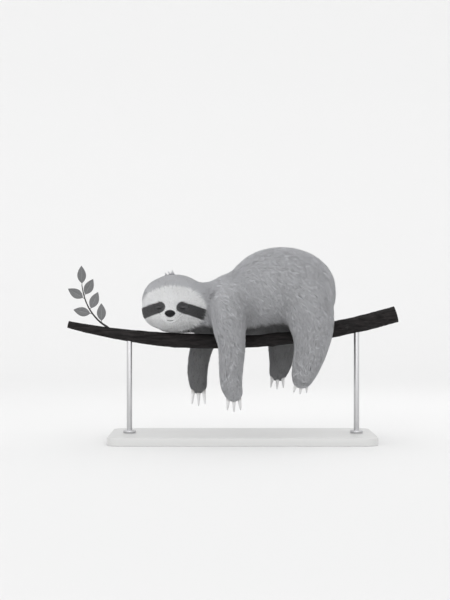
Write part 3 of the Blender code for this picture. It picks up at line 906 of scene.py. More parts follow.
class SLOTH_OT_coat(bpy.types.Operator):
    """Grow the coat over the skin, in tufts that follow its lie"""

    bl_idname = "sloth.coat"
    bl_label = "Coat"

    CROWN_DEPTH = 0.0050  # of the coat under the crown's locks
    CROWN = (  # the locks: across, forward, the way each leans, its length
        (-0.0185, 0.001, (-0.75, 0.0, 1.0), 0.0070),
        (-0.0110, 0.004, (-0.60, -0.2, 1.0), 0.0095),
        (-0.0030, 0.002, (-0.45, 0.0, 1.0), 0.0115),
        (-0.0070, -0.005, (-0.50, 0.3, 1.0), 0.0080),
    )
    BROW = (-0.5, -0.15, 0.35, 0.6)  # how far each lock of the brow leans across
    LOCK = 22  # tufts that are drawn together into a lock, on average
    PULL = 0.20  # how far a tuft's point is drawn to its lock

    def execute(self, context):
        settings = context.scene.sloth_coat
        ground = Ground(bpy.data.objects["skin"])
        look = self.look(settings)
        share = settings.density * 1.0
        head, face = ground.on("head"), ground.face > 0.45
        groups = [("face", head & face), ("head", head & ~face)]
        groups += [(part, ground.on(part)) for part in ("neck", "trunk", "tail")]
        for side in SIDES:
            for limb, parts in (("arm", ARM), ("leg", LEG)):
                groups.append((f"{limb}_{side}", ground.on(*(f"{part}_{side}" for part in parts))))
        for seed, (name, chosen) in enumerate(groups, 1000):
            random = np.random.default_rng(seed)
            places, picked, spread = ground.roots(chosen, share, random)
            hairy = ~self.bare(places)
            places, picked, spread = places[hairy], picked[hairy], spread[hairy]
            order = np.argsort(places[:, 0])
            pieces = math.ceil(len(order) * TUFT_TRIANGLES / MOST_TRIANGLES)
            for number, some in enumerate(np.array_split(order, pieces), 1):
                piece = f"coat_{name}" + (f"_{number}" if pieces > 1 else "")
                self.grow(piece, ground, places[some], picked[some], spread[some], random, look)
        self.crown(ground, look)
        return {"FINISHED"}

    def bare(self, places):
        """True where no hair grows: on the nose's leather, the lids and the lips."""
        across, forward, up = head_coordinates(places)
        nose = np.hypot(across / 0.0108, (up - NOSE_UP) / 0.0074) < 1
        wide = np.abs(across) - EYE_ACROSS
        eye = np.hypot((wide + 0.0003) / 0.0097, (up - EYE_UP + 0.0004) / 0.0034) < 1
        lips = (np.abs(smile_gap(across, up)) < 0.0012) & (wide < 0.0072)
        return (nose | eye | lips) & (forward > 0.03)

    def grow(self, name, ground, places, picked, spread, random, look):
        """One piece of the coat, rooted at these places."""
        number = len(places)
        lengths = ground.length[picked] * random.uniform(0.72, 1.12, number)
        lean = random.normal(0, 0.09, number)
        lift = random.uniform(0.82, 1.06, number)
        stations, ups = ground.walk(places, picked, lengths, lean, lift)
        stations = self.gathered(stations, ground.length[picked], random)
        widths = (ground.width[picked] * random.uniform(0.75, 1.2, number))[:, None] * TAPER
        middle, middle_up = stations[:, (STEPS + 1) // 2], ups[:, 1]
        pale, stripe, dark = markings(middle, middle_up, ground.limb[picked])
        patch = ripple(places, 0.030, 5)
        tone = np.clip(0.5 + 0.08 * random.normal(size=number) + 0.10 * patch, 0, 1)
        # painted shade: tufts facing down along the belly are made darker still, though the floor
        # lights them
        belly = smooth(-middle_up[:, 2], 0.15, 0.60) * smooth(middle[:, 2], *BELLY)
        tone -= 1.2 * belly * dark
        values = {"tone": tone, "pale": pale, "stripe": stripe, "dark": dark}
        piece = new_object(name, tuft_mesh(stations, ups, widths, spread, values), look)
        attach(piece, "root")

    def gathered(self, stations, lengths, random):
        """Draws neighbouring tufts together towards their ends, into locks."""
        number = len(stations)
        guides = random.choice(number, max(1, number // self.LOCK), replace=False)
        tree = KDTree(len(guides))
        for index, guide in enumerate(guides):
            tree.insert(stations[guide, 0], index)
        tree.balance()
        found = np.array([tree.find(root)[1:] for root in stations[:, 0].tolist()])
        guide = guides[found[:, 0].astype(int)]
        close = np.clip(1 - found[:, 1] / (0.45 * lengths), 0, 1)
        share = np.linspace(0, 1, stations.shape[1]) ** 1.5
        pull = self.PULL * close[:, None] * share[None]
        drawn = stations[guide] + (stations[:, :1] - stations[guide][:, :1]) * 0.25
        return toward(stations, drawn, pull[:, :, None])

    def crown(self, ground, look):
        """The few small locks that stand up on the head, and those on the brow."""
        random = np.random.default_rng(77)
        stations, tones, pales = [], [], []
        for across, forward, lean, length in self.CROWN:
            lean = HEAD_TURN @ Vector(lean).normalized()
            root = ground.hit(on_head(across, forward, 0.090), -HEAD_UP)
            for _ in range(30):
                spot = Vector(random.normal(0, 0.0011, 3))
                spot.z = 0
                grown = length * random.uniform(0.45, 1.0)
                bend = root + spot * 0.9 + HEAD_UP * (self.CROWN_DEPTH + 0.30 * grown)
                tip = bend + spot * -0.25 + lean * 0.75 * grown
                stations.append([root + spot * 1.8, bend, tip])
                tones.append(random.uniform(0.3, 0.6))
                pales.append(0.0)
        for lean in self.BROW:
            root = ground.hit(on_head(0.004 * lean, 0.085, 0.0295), HEAD_BACK)
            way = HEAD_TURN @ Vector((lean, -0.5, 1.0)).normalized()
            for _ in range(5):
                spot = Vector(random.normal(0, 0.0006, 3))
                bend, tip = root + spot + way * 0.005, root + way * 0.0105 + spot * 0.3
                stations.append([root + spot, bend, tip])
                tones.append(0.75)
                pales.append(1.0)
        stations = np.array(stations)
        none = np.zeros(len(stations))
        values = {"tone": np.array(tones), "pale": np.array(pales), "stripe": none, "dark": none}
        spread = ground.spread[ground.nearest(stations[:, 0])[1]].mean(axis=1)
        piece = new_object("coat_crown", front_tufts(stations, LOOSE_WIDTHS, spread, values), look)
        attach(piece, "root")

    def look(self, settings):
        """Soft, dry hair: darker at the root, paler at the point, and no two tufts the same."""
        paint = Paint(
            "coat", Roughness=0.75, Specular_IOR_Level=0.30, Sheen_Weight=0.12, Sheen_Roughness=0.5
        )
        shade = marked(paint, settings, 1.0)
        shadow = paint.ramp(paint.attribute("along"), (0.0, 0.36), (0.40, 0.09), (1.0, 0.0))
        shadow = paint.node("ShaderNodeSeparateColor", {}, {0: shadow})
        vary = paint.attribute("tone") * 0.44 + 0.78
        less = paint.attribute("pale") * -0.6 + 1
        paint.put("Base Color", paint.mix((0, 0, 0), shade, (1 - shadow * less) * vary))
        paint.bump(paint.noise(paint.place(), 2400.0, 2.0), 0.0001)
        return paint.material


# ---- The face -----------------------------------------------------------------------------------
class SLOTH_OT_face(bpy.types.Operator):
    """Make the closed lids with their lashes, the leather nose and the lips' line"""

    bl_idname = "sloth.face"
    bl_label = "Face"

    LID_SIZE = Vector((0.0118, 0.0054, 0.0058))  # half sizes, across, back and up
    LID_OUT = 0.0024  # that the lids stand out of the skin
    NOSE_SIZE = (0.0118, 0.0080, 0.0080)
    LASHES = 34  # on an eye
    LASH_WIDTHS = (0.00055, 0.00040)  # at the root and at the bend
    LIP_RADIUS = 0.00085

    def execute(self, context):
        settings = context.scene.sloth_face
        ground = Ground(bpy.data.objects["skin"])
        lid, lash = self.lid_look(settings), self.lash_look()
        for side in SIDES:
            place = self.eye_place(side, ground)
            self.eyelids(side, place, lid)
            self.lashes(side, place, settings, lash)
        self.nose(settings)
        self.lips(settings, ground, lash)
        return {"FINISHED"}

    def eye_place(self, side, ground):
        """The place and turn of an eye's lids, which face half the way that the skin does there."""
        sign = 1 if side == "left" else -1
        hit = ground.hit(on_head(sign * EYE_ACROSS, NEAR_FACE, EYE_UP), HEAD_BACK)
        out = Vector((0, 0, 0))
        for _, normal, _, _ in ground.tree.find_nearest_range(hit, 0.006):
            out += normal
        out = (out.normalized() + HEAD_FRONT).normalized()
        across = (-out).cross(HEAD_UP).normalized()
        up = across.cross(-out)
        turn = Matrix((across, -out, up)).transposed().to_4x4()
        return Matrix.Translation(hit - out * (self.LID_SIZE.y - self.LID_OUT)) @ turn

    def eyelids(self, side, place, look):
        """An upper and a lower lid that meet in a curved seam, with folds over them."""
        work = ball(self.LID_SIZE, 80, 56)
        seam = work.verts.layers.float.new("seam")
        for vertex in work.verts:
            across, back, up = vertex.co
            front = max(0.0, -back / self.LID_SIZE.y)
            gap = seam_gap(across, up)
            ends = max(0.0, 1 - (across / SEAM_HALF) ** 4)
            groove = bell((gap, 0.00085)) * ends * front
            roll = bell((gap - 0.0011, 0.0007)) * ends * front
            folds = (math.sin(gap * 3600) * 0.5 + 0.5) * (1 - bell((gap, 0.0016))) * front
            vertex.co += vertex.normal * (-0.0010 * groove + 0.00035 * roll + 0.00014 * folds)
            vertex[seam] = groove
        bmesh.ops.transform(work, matrix=place, verts=work.verts)
        piece = new_object(f"lids_{side}", mesh_of(work), look)
        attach(piece, "root")
        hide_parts(f"eye_{side}")

    def lashes(self, side, place, settings, look):
        """A row of lashes along the seam, each hanging in a curve and fanned out to the sides."""
        random = np.random.default_rng(5 if side == "left" else 6)
        size = self.LID_SIZE
        stations = []
        for share in np.linspace(-0.96, 0.96, self.LASHES):
            across = share * SEAM_HALF
            up = -seam_gap(across, 0.0)
            forward = size.y * math.sqrt(max(1 - (across / size.x) ** 2 - (up / size.z) ** 2, 0.02))
            length = settings.lash_length * random.uniform(0.75, 1.1) * (1 - 0.25 * share**2)
            fan = 0.55 * share + random.normal(0, 0.07)
            stations.append([
                place @ Vector((
                    across + fan * length * reach,
                    0.0006 - forward - length * reach,
                    up - length * drop,
                ))
                for reach, drop in ((0.0, 0.0), (0.45, 0.30), (0.62, 0.80))
            ])
        spread = together(np.linspace(0.05, 0.95, self.LASHES), 0.5)
        mesh = front_tufts(np.array(stations), self.LASH_WIDTHS, spread, {})
        piece = new_object(f"lashes_{side}", mesh, look)
        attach(piece, "root")

    def nose(self, settings):
        """A broad, moist leather pad with two comma-shaped nostrils and a shallow parting."""
        _, long, tall = self.NOSE_SIZE
        work = ball(self.NOSE_SIZE, 112, 80)
        layer = work.verts.layers.float.new("hollow")
        for vertex in work.verts:
            across, back, up = vertex.co
            front = max(0.0, -back / long)
            wide = abs(across)
            nostril = bell((wide - 0.0052 - 0.10 * (up + 0.0010), 0.0019), (up + 0.0012, 0.0013))
            slit = bell((wide - 0.0080, 0.0022), (up + 0.0004, 0.0007))
            parting = bell((across, 0.0006)) * (1 if up < 0.001 else 0.25)
            hollow = min(1.0, nostril + 0.6 * slit) * front
            vertex.co += vertex.normal * (-0.0026 * hollow - 0.0005 * parting * front)
            vertex.co.x *= 1 - 0.26 * max(0.0, -up / tall)
            vertex[layer] = hollow
        place = Matrix.Translation(on_head(0, NOSE_FORWARD, NOSE_UP)) @ HEAD_TURN.to_4x4()
        bmesh.ops.transform(work, matrix=place, verts=work.verts)
        paint = Paint("leather", Specular_IOR_Level=0.18)
        pebble = paint.cells(paint.place(), 1500.0)
        shade = paint.tones(settings.leather, 1, 1.6, pebble)
        # painted shade: the nostrils' hollows are made near-black
        shade = paint.mix(shade, (0.001, 0.001, 0.001), paint.attribute("hollow"))
        paint.put("Base Color", shade)
        paint.put("Roughness", pebble * 0.20 + 0.26)
        paint.bump(pebble * -1 + 1, 0.00018)
        piece = new_object("nose_pad", mesh_of(work), paint.material)
        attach(piece, "root")
        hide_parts("nose")

    def lips(self, settings, ground, look):
        """The dark line where the lips meet, laid in the groove of the skin."""
        work = bar(10, 28)
        for vertex in work.verts:
            share = 2 * vertex.co.z
            across = share * settings.smile_width / 2
            hit = ground.hit(on_head(across, NEAR_FACE, -smile_gap(across, 0.0)), HEAD_BACK)
            radius = self.LIP_RADIUS * (1 - 0.5 * share**2)
            out, up = vertex.co.y * radius, vertex.co.x * radius
            vertex.co = hit - HEAD_BACK * (0.0019 + out) + HEAD_TURN @ Vector((0, 0, up))
        piece = new_object("lips", mesh_of(work), look)
        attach(piece, "root")

    def lid_look(self, settings):
        """Creased, hairless skin, black in the seam."""
        paint = Paint("lid_skin", Specular_IOR_Level=0.25)
        crease = paint.noise(paint.place(scale=(1, 1, 2.4)), 1300.0, 5.0)
        shade = paint.tones(settings.lid, 0.7, 1.3, crease)
        # painted shade: the groove of the seam between the lids is made black
        shade = paint.mix(shade, (0.003, 0.003, 0.003), paint.attribute("seam") * 1.6)
        paint.put("Base Color", shade)
        paint.put("Roughness", crease * 0.25 + 0.55)
        paint.bump(crease, 0.00025)
        return paint.material

    def lash_look(self):
        """Near-black, for the lashes and the lips' line."""
        paint = Paint("lash", Roughness=0.4)
        streak = paint.noise(paint.place(), 1800.0, 2.0)
        paint.put("Base Color", paint.mix((0.003, 0.003, 0.003), (0.012, 0.011, 0.011), streak))
        return paint.material


# ---- Claws --------------------------------------------------------------------------------------
class SLOTH_OT_claws(bpy.types.Operator):
    """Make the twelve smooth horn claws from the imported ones"""

    bl_idname = "sloth.claws"
    bl_label = "Claws"

    ROOT_TONE = (0.42, 0.41, 0.40)

    def execute(self, context):
        look = self.look(context.scene.sloth_face)
        for node in CLAWS:
            claw = rounded(node, f"horn_{node}")
            self.swell(claw.data)
            claw.data.materials.append(look)
            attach(claw, "root")
            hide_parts(node)
        return {"FINISHED"}

    def swell(self, mesh):
        """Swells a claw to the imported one's girth, and writes how far along it each point is."""
        places = places_of(mesh)
        high, low = places[:, 2].max(), places[:, 2].min()
        along = (high - places[:, 2]) / (high - low)
        swell = 0.0013 - 0.0007 * along + ripple(places, 0.004, 3) * 0.00008
        place_all(mesh, places + outwards_of(mesh) * swell[:, None])
        write(mesh, "along", along)

    def look(self, settings):
        """Pale horn, darker and duller at its root, with fine lengthwise growth lines."""
        paint = Paint("horn")
        streak = paint.noise(paint.place(scale=(1, 1, 0.06)), 1100.0, 4.0)
        pale = paint.tones(settings.horn, 0.80, 1.15, streak)
        grown = paint.ramp(paint.attribute("along"), (0.20, 0.0), (0.42, 1.0))
        paint.put("Base Color", paint.mix(self.ROOT_TONE, pale, grown))
        paint.put("Roughness", streak * 0.22 + 0.24)
        paint.bump(streak, 0.00012)
        return paint.material


# ---- The branch ---------------------------------------------------------------------------------
BRANCH_HALF = 0.365  # half the branch's length
LOW_X, LOW_Z = -0.045, 0.2196  # the lowest point of its middle line
RISE = 0.367  # of the middle line, times the way from there squared
BRANCH_RADIUS = 0.0166
THIN_FROM, THIN_BY = -0.13, 0.0086  # where it starts to thin towards the sprig, and how much
THICK_BY = 0.0022  # that it thickens towards the other end


def branch_line(x):
    """Height of the branch's middle at x, its radius, and the cosine of its slope."""
    thin = max(0.0, (THIN_FROM - x) / (THIN_FROM + BRANCH_HALF))
    thick = max(0.0, x / BRANCH_HALF)
    slope = 2 * RISE * (x - LOW_X)
    radius = BRANCH_RADIUS - THIN_BY * min(thin, 1.0) ** 1.2 + THICK_BY * thick
    return LOW_Z + RISE * (x - LOW_X) ** 2, radius, math.cos(math.atan(slope))


class SLOTH_OT_branch(bpy.types.Operator):
    """Make the branch, with ridged bark, knots and sawn ends"""

    bl_idname = "sloth.branch"
    bl_label = "Branch"

    KNOTS = (  # place along X, angle around, height, breadth
        (-0.208, 2.3, 0.0030, 0.010), (0.231, 0.6, 0.0034, 0.012), (0.330, 3.9, 0.0030, 0.011),
        (-0.325, 4.6, 0.0016, 0.007), (0.085, 4.4, 0.0024, 0.010),
    )

    def execute(self, context):
        settings = context.scene.sloth_wood
        low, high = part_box("branch")
        first, last = self.end(low.x), self.end(high.x)
        work = bar(64, 420)
        caps = [f for f in work.faces if len(f.verts) > 4]
        bmesh.ops.inset_region(work, faces=caps, thickness=0.06, depth=0)
        for vertex in work.verts:
            share = vertex.co.z + 0.5
            angle = math.atan2(vertex.co.y, vertex.co.x)
            reach = math.hypot(vertex.co.x, vertex.co.y)
            vertex.co = self.surface(first + (last - first) * share, angle, reach, settings.ridge)
        for face in work.faces:
            if len(face.verts) > 4:
                face.material_index = 1
        looks = self.bark_look(settings), self.end_look(settings)
        branch = new_object("bark", mesh_of(work), *looks)
        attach(branch, "root")
        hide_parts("branch")
        return {"FINISHED"}

    def end(self, x):
        """Where the middle line ends, so that the tilted end cut reaches x."""
        _, radius, cosine = branch_line(x)
        return x - math.copysign(radius * math.sqrt(1 - cosine**2), x)

    def surface(self, x, angle, reach, ridge):
        """The point at this angle round the middle line and this share of the way to the bark."""
        height, radius, cosine = branch_line(x)
        sine = math.copysign(math.sqrt(1 - cosine**2), x - LOW_X)
        size = radius / BRANCH_RADIUS
        around = math.cos(angle), math.sin(angle)
        coarse = Vector((x * 22, *(2.6 * part * size for part in around)))
        plate = noise.fractal(coarse, 1.0, 2.0, 4)
        fine = noise.noise(Vector((x * 75, *(7 * part for part in around))))
        bulge = 0.0
        for at, turned, tall, broad in self.KNOTS:
            aside = math.remainder(angle - turned, 2 * math.pi) * radius
            gap = math.hypot(x - at, aside) / broad
            bulge += tall * (math.exp(-(gap**2) * 1.6) - 0.75 * math.exp(-(gap**2) * 14))
        rough = ridge * size * (abs(plate) * 1.3 - 0.75 + 0.25 * fine)
        out = (radius - 0.0002 + (bulge * min(size, 1) + rough)) * reach
        up = Vector((-sine, 0, cosine)) * around[1]
        return Vector((x, 0, height)) + (Vector((0, around[0], 0)) + up) * out

    def bark_look(self, settings):
        """Near-black bark, with cracks along it, darker partly as painted shade, and paler, drier
        ridges.
        """
        paint = Paint("bark", Specular_IOR_Level=0.25)
        plate = paint.noise(paint.place(scale=(0.16, 1, 1)), 230.0, 7.0, 0.66)
        furrow = paint.noise(paint.place(scale=(0.10, 1, 1)), 330.0, 4.0)
        grain = paint.noise(paint.place(scale=(0.25, 1, 1)), 1000.0, 4.0)
        deep = paint.ramp(furrow, (0.36, 1.0), (0.47, 0.0))
        high = paint.ramp(plate, (0.40, 0.0), (0.75, 1.0))
        shade = paint.tones(settings.bark, 0.55, 2.9, high)
        # partly painted shade: the furrows are made near-black, as well as darker in their own
        # colour
        shade = paint.mix(shade, (0.003, 0.002, 0.002), deep * 0.9)
        lichen = paint.ramp(paint.noise(paint.place(), 46.0, 5.0, 0.6), (0.66, 0.0), (0.72, 1.0))
        paint.put("Base Color", paint.mix(shade, (0.050, 0.049, 0.047), lichen * 0.4))
        paint.put("Roughness", plate * 0.3 + 0.62)
        paint.bump(plate * 0.6 + grain * 0.2 - deep * 0.6, 0.0018)
        return paint.material

    def end_look(self, settings):
        """A sawn end, with growth rings round the branch's middle line and saw marks."""
        paint = Paint("cut_wood", Roughness=0.7)
        place = paint.place()
        x, y, z = (paint.part(place, axis) for axis in "XYZ")
        bend = x - LOW_X
        lift = z - (bend * bend * RISE + LOW_Z)
        away = (y * y + lift * lift) ** 0.5
        wobble = paint.noise(paint.place(), 120.0)
        rings = paint.maths("SINE", (away + wobble * 0.0016) * 4600.0)
        saw = paint.noise(paint.place(scale=(1, 0.08, 1)), 1500.0)
        shade = paint.tones(settings.heartwood, 0.55, 1, rings * 0.5 + 0.5)
        paint.put("Base Color", paint.mix(shade, (0.03, 0.025, 0.022), saw * 0.4))
        paint.bump(rings * 0.3 + saw * 0.7, 0.0004)
        return paint.material


# ---- The sprig ----------------------------------------------------------------------------------
class SLOTH_OT_sprig(bpy.types.Operator):
    """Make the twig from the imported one, and the six veined leaves"""

    bl_idname = "sloth.sprig"
    bl_label = "Twig and leaves"

    STALK = 0.10  # of a leaf's length
    STALK_HALF = 0.00075  # half the stalk's width
    TIP_HALF = 0.00012  # half the width of a leaf's tip
    STALK_SUNK = 0.0010  # that a stalk goes into the twig
    THICKNESS = 0.0006  # of a blade
    VEINS, VEIN_ALONG, VEIN_SLANT = 34, 0.9, 0.16  # of the wave that the side veins follow

    def execute(self, context):
        settings = context.scene.sloth_wood
        self.twig(settings)
        look = self.leaf_look(settings)
        for seed, node in enumerate(LEAVES):
            self.leaf(node, seed, look)
        return {"FINISHED"}

    def twig(self, settings):
        piece = rounded("twig", "twig_bark")
        places = places_of(piece.data)
        rough = ripple(places, 0.0035, 8) * 0.00015 + 0.0002
        place_all(piece.data, places + outwards_of(piece.data) * rough[:, None])
        paint = Paint("twig_bark", Roughness=0.7)
        streak = paint.noise(paint.place(scale=(1, 1, 0.3)), 800.0, 4.0)
        paint.put("Base Color", paint.tones(settings.bark, 0.7, 2.6, streak))
        paint.bump(streak, 0.0003)
        piece.data.materials.append(paint.material)
        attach(piece, "root")
        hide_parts("twig")

    def leaf_line(self, corners):
        """The foot of a packed leaf's stalk, sunk in the twig, and the leaf's tip."""
        centre = corners.mean(axis=0)
        main = np.linalg.svd(corners - centre, full_matrices=False)[2][0]
        reach = (corners - centre) @ main
        ends = centre + main * reach.min(), centre + main * reach.max()
        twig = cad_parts["twig"].data
        faces = [list(f.vertices) for f in twig.polygons]
        wood = BVHTree.FromPolygons([v.co for v in twig.vertices], faces)
        near = [wood.find_nearest(end) for end in ends]
        tip = ends[1] if near[0][3] < near[1][3] else ends[0]
        place, outward, _, _ = min(near, key=lambda hit: hit[3])
        return np.array(place - outward * self.STALK_SUNK), tip

    def leaf(self, node, seed, look):
        """A pointed oval blade with a keel along its midrib and side veins, on a short stalk."""
        corners = places_of(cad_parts[node].data)
        foot, tip = self.leaf_line(corners)
        length = np.linalg.norm(tip - foot)
        along = Vector((tip - foot) / length)
        flat = Vector((0, -1, 0))
        side = along.cross(flat).normalized()
        width = np.abs((corners - foot) @ np.array(side)).max()
        work = bmesh.new()
        bmesh.ops.create_grid(work, x_segments=56, y_segments=24, size=0.5)
        down = work.verts.layers.float.new("down")
        out = work.verts.layers.float.new("out")
        for vertex in work.verts:
            share, across = vertex.co.x + 0.5, 2 * vertex.co.y
            blade = max(0.0, (share - self.STALK) / (1 - self.STALK))
            broad = width * max(math.sin(math.pi * min(blade, 1) ** 0.85), 0) ** 0.9
            broad = max(broad, self.STALK_HALF * (1 - blade), self.TIP_HALF)
            edge = 1 + 0.012 * math.sin(share * 70 + seed)
            inward = 1 - abs(across)
            wave = (share * self.VEIN_ALONG - abs(across) * self.VEIN_SLANT) * self.VEINS
            keel = 0.10 * broad * inward**2
            groove = 0.00022 * (1 - abs(math.sin(wave))) * (blade > 0) * inward
            curl = 0.0016 * math.sin(share * 3.0 + seed) - 0.05 * broad * across**2
            vertex[down], vertex[out] = share, across
            vertex.co = (
                Vector(foot)
                + along * (share * length)
                + side * (across * broad * edge)
                + flat * (curl - keel - groove + 0.0003)
            )
        piece = new_object(f"{node}_blade", mesh_of(work), look)
        thick = piece.modifiers.new("thick", "SOLIDIFY")
        thick.thickness = self.THICKNESS
        thick.offset = 0
        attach(piece, "root")
        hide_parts(node)

    def leaf_look(self, settings):
        """A smooth, greyish blade with a paler midrib and side veins."""
        paint = Paint("leaf")
        wide = paint.maths("ABSOLUTE", paint.attribute("out"))
        wave = (paint.attribute("down") * self.VEIN_ALONG - wide * self.VEIN_SLANT) * self.VEINS
        crest = paint.maths("ABSOLUTE", paint.maths("SINE", wave))
        veins = paint.ramp(crest, (0.0, 1.0), (0.20, 0.0))
        rib = paint.ramp(wide, (0.03, 1.0), (0.09, 0.0))
        raised = paint.maths("MAXIMUM", veins * 0.55, rib)
        mottle = paint.noise(paint.place(), 260.0, 5.0)
        shade = paint.tones(settings.leaf, 0.78, 1.18, mottle)
        paint.put("Base Color", paint.mix(shade, times(settings.leaf, 1.9), raised * 0.6))
        paint.put("Roughness", mottle * 0.22 + 0.36)
        paint.bump(raised * -0.6 + paint.noise(paint.place(), 1300.0) * 0.4, 0.0003)
        return paint.material


# ---- The stand ----------------------------------------------------------------------------------
class SLOTH_OT_stand(bpy.types.Operator):
    """Make the display stand: its base, two steel rods and their collars"""

    bl_idname = "sloth.stand"
    bl_label = "Stand"

    ROD_EASE, COLLAR_EASE = 0.0004, 0.0012  # of the steel's rims
    BASE_CORNER = 0.03
    TOP_EASE, UNDER_EASE = 0.0026, 0.0010  # of the base's edges
    SHARP = math.radians(50)  # the least angle between faces that shows as an edge

    def execute(self, context):
        settings = context.scene.sloth_stand
        self.base(settings)
        steel = self.steel_look(settings)
        for number in (1, 2):
            for kind, ease in (("rod", self.ROD_EASE), ("collar", self.COLLAR_EASE)):
                node = f"stand_{kind}_{number}"
                work = bmesh.new()
                bmesh.ops.create_cone(
                    work, cap_ends=True, segments=72, radius1=0.5, radius2=0.5, depth=1.0
                )
                fill_box(work, node)
                upright = set(upright_edges(work, 1e-6))
                round_over(work, [e for e in work.edges if e not in upright], ease, 4)
                piece = new_object(f"steel_{kind}_{number}", mesh_of(work), steel)
                piece.data.set_sharp_from_angle(angle=self.SHARP)
                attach(piece, "root")
                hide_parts(node)
        return {"FINISHED"}

    def base(self, settings):
        """A plate with round corners and eased edges, at the top and underneath."""
        low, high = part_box("stand_base")
        work = bmesh.new()
        bmesh.ops.create_cube(work, size=1.0)
        fill_box(work, "stand_base")
        round_over(work, upright_edges(work, 0.01), self.BASE_CORNER, 24)
        for level, ease in ((high.z, self.TOP_EASE), (low.z, self.UNDER_EASE)):
            face = [f for f in work.faces if all(abs(v.co.z - level) < 1e-6 for v in f.verts)]
            round_over(work, list({e for f in face for e in f.edges}), ease, 5)
        piece = new_object("lacquered_base", mesh_of(work), self.lacquer_look(settings))
        piece.data.set_sharp_from_angle(angle=self.SHARP)
        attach(piece, "root")
        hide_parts("stand_base")

    def lacquer_look(self, settings):
        """Satin lacquer over fine-grained wood, which just shows through it."""
        paint = Paint("lacquer", Coat_Weight=0.15)
        grain = paint.noise(paint.place(scale=(0.05, 1, 1)), 420.0, 5.0, 0.6)
        wear = paint.noise(paint.place(), 9.0, 4.0)
        shade = paint.tones(settings.lacquer, 0.95, 1, grain)
        paint.put("Base Color", paint.mix(shade, times(settings.lacquer, 0.97), wear))
        paint.put("Roughness", wear * 0.12 + 0.32)
        paint.bump(grain, 0.00006)
        return paint.material

    def steel_look(self, settings):
        """Steel turned on a lathe, with fine marks around it."""
        paint = Paint("steel", Metallic=1.0)
        marks = paint.noise(paint.place(scale=(0.05, 0.05, 1)), 3000.0)
        cloud = paint.noise(paint.place(), 60.0)
        paint.put("Base Color", paint.tones(settings.steel, 0.85, 1, marks))
        paint.put("Roughness", marks * 0.16 + cloud * 0.08 + 0.22)
        paint.bump(marks, 0.00003)
        return paint.material


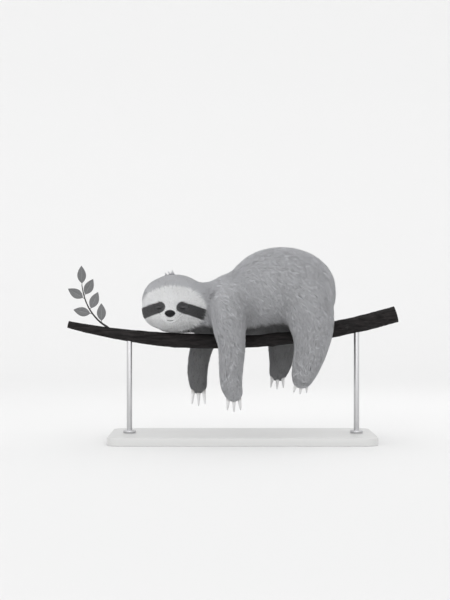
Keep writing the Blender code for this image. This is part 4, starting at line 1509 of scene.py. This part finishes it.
# ---- The studio ---------------------------------------------------------------------------------
class SLOTH_OT_studio(bpy.types.Operator):
    """Set up the pale floor, the soft lights and the camera"""

    bl_idname = "sloth.studio"
    bl_label = "Studio"

    AIM = Vector((-0.0176, 0.0, 0.3104))  # what the camera and the lights point at
    CAMERA_AWAY = 3.12
    FLOOR_HALF = 9.0
    COVE_START, COVE_RADIUS = 2.2, 1.6  # of the curve in which the floor rises to a wall
    FAR = (2.4, 4.5)  # distances between which the floor turns to its far tone, but not behind
    FAR_TONE = (0.96, 0.96, 0.96)
    LIGHTS = (  # name, place, size, share of the main light's power
        ("key", (-2.2, -3.6, 1.7), 2.4, 1.0),
        ("fill", (2.4, -3.0, 0.9), 2.4, 0.30),
        ("back", (0.6, 1.3, 1.5), 1.0, 0.10),
        ("low", (0.4, -3.4, 0.35), 1.6, 0.40),
    )

    def execute(self, context):
        settings = context.scene.sloth_stand
        self.floor(settings)
        world = bpy.data.worlds.new("studio")
        world.use_nodes = True
        sky = world.node_tree.nodes["Background"].inputs
        sky["Color"].default_value = (1.0, 1.0, 1.0, 1.0)
        sky["Strength"].default_value = settings.sky
        context.scene.world = world
        for name, place, size, share in self.LIGHTS:
            light = bpy.data.lights.new(name, "AREA")
            light.energy = settings.key * share
            light.size = size
            lamp = bpy.data.objects.new(name, light)
            lamp.location = place
            lamp.rotation_euler = (self.AIM - Vector(place)).to_track_quat("-Z", "Y").to_euler()
            context.scene.collection.objects.link(lamp)
        data = bpy.data.cameras.new("camera")
        data.lens, data.sensor_width = 85.0, 36.0
        camera = bpy.data.objects.new("camera", data)
        camera.location = self.AIM + Vector((0, -self.CAMERA_AWAY, 0))
        camera.rotation_euler = (math.radians(90), 0, 0)
        context.scene.collection.objects.link(camera)
        context.scene.camera = camera
        context.scene.view_settings.view_transform = "Standard"
        return {"FINISHED"}

    def floor(self, settings):
        """The floor, which curves up into a wall behind, has painted shade in front and one tone far
        away.
        """
        work = bmesh.new()
        bmesh.ops.create_grid(work, x_segments=8, y_segments=60, size=1.0)
        bmesh.ops.scale(work, verts=work.verts, vec=(self.FLOOR_HALF, self.FLOOR_HALF, 1.0))
        radius = self.COVE_RADIUS
        for vertex in work.verts:
            behind = vertex.co.y - self.COVE_START
            if behind > 0:
                turn = min(behind / radius, math.pi / 2)
                vertex.co.y = self.COVE_START + radius * math.sin(turn)
                up_wall = max(0.0, behind - radius * math.pi / 2)
                vertex.co.z = radius * (1 - math.cos(turn)) + up_wall
        mesh = mesh_of(work)
        places = places_of(mesh)
        aside = np.maximum(np.abs(places[:, 0]), -places[:, 1])
        write(mesh, "far", smooth(aside, *self.FAR))
        paint = Paint("studio_floor", Roughness=0.9)
        mottle = paint.noise(paint.place(), 3.0, 2.0)
        # painted shade: the floor's tone falls towards the front, where the lamps light it most
        back = paint.part(paint.place(), "Y") * 0.45 + 0.85
        near = paint.ramp(back, (0.0, 0.0), (1.0, 1.0)) + mottle * 0.02
        tone = paint.tones(settings.backdrop, 0.86, 1, near)
        paint.put("Base Color", paint.mix(tone, self.FAR_TONE, paint.attribute("far")))
        new_object("studio_floor", mesh, paint.material)


OPERATORS = (
    SLOTH_OT_skin, SLOTH_OT_coat, SLOTH_OT_face, SLOTH_OT_claws,
    SLOTH_OT_branch, SLOTH_OT_sprig, SLOTH_OT_stand, SLOTH_OT_studio,
)


class SLOTH_PT_panel(bpy.types.Panel):
    """The sloth's settings and its pieces"""

    bl_idname = "SLOTH_PT_panel"
    bl_label = "Sleeping sloth"
    bl_space_type = "VIEW_3D"
    bl_region_type = "UI"
    bl_category = "Sloth"

    def draw(self, context):
        for name, group in SETTINGS.items():
            box = self.layout.box()
            for key in group.__annotations__:
                box.prop(getattr(context.scene, name), key)
        for operator in OPERATORS:
            self.layout.operator(operator.bl_idname)


CLASSES = (*SETTINGS.values(), *OPERATORS, SLOTH_PT_panel)


def register():
    for made in CLASSES:
        bpy.utils.register_class(made)
    for name, group in SETTINGS.items():
        setattr(bpy.types.Scene, name, bpy.props.PointerProperty(type=group))


def unregister():
    for name in SETTINGS:
        delattr(bpy.types.Scene, name)
    for made in reversed(CLASSES):
        bpy.utils.unregister_class(made)


def main():
    register()
    bpy.ops.sloth.studio()
    bpy.ops.sloth.skin()
    bpy.ops.sloth.coat()
    bpy.ops.sloth.face()
    bpy.ops.sloth.claws()
    bpy.ops.sloth.branch()
    bpy.ops.sloth.sprig()
    bpy.ops.sloth.stand()
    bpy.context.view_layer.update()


if __name__ == "__main__":
    main()
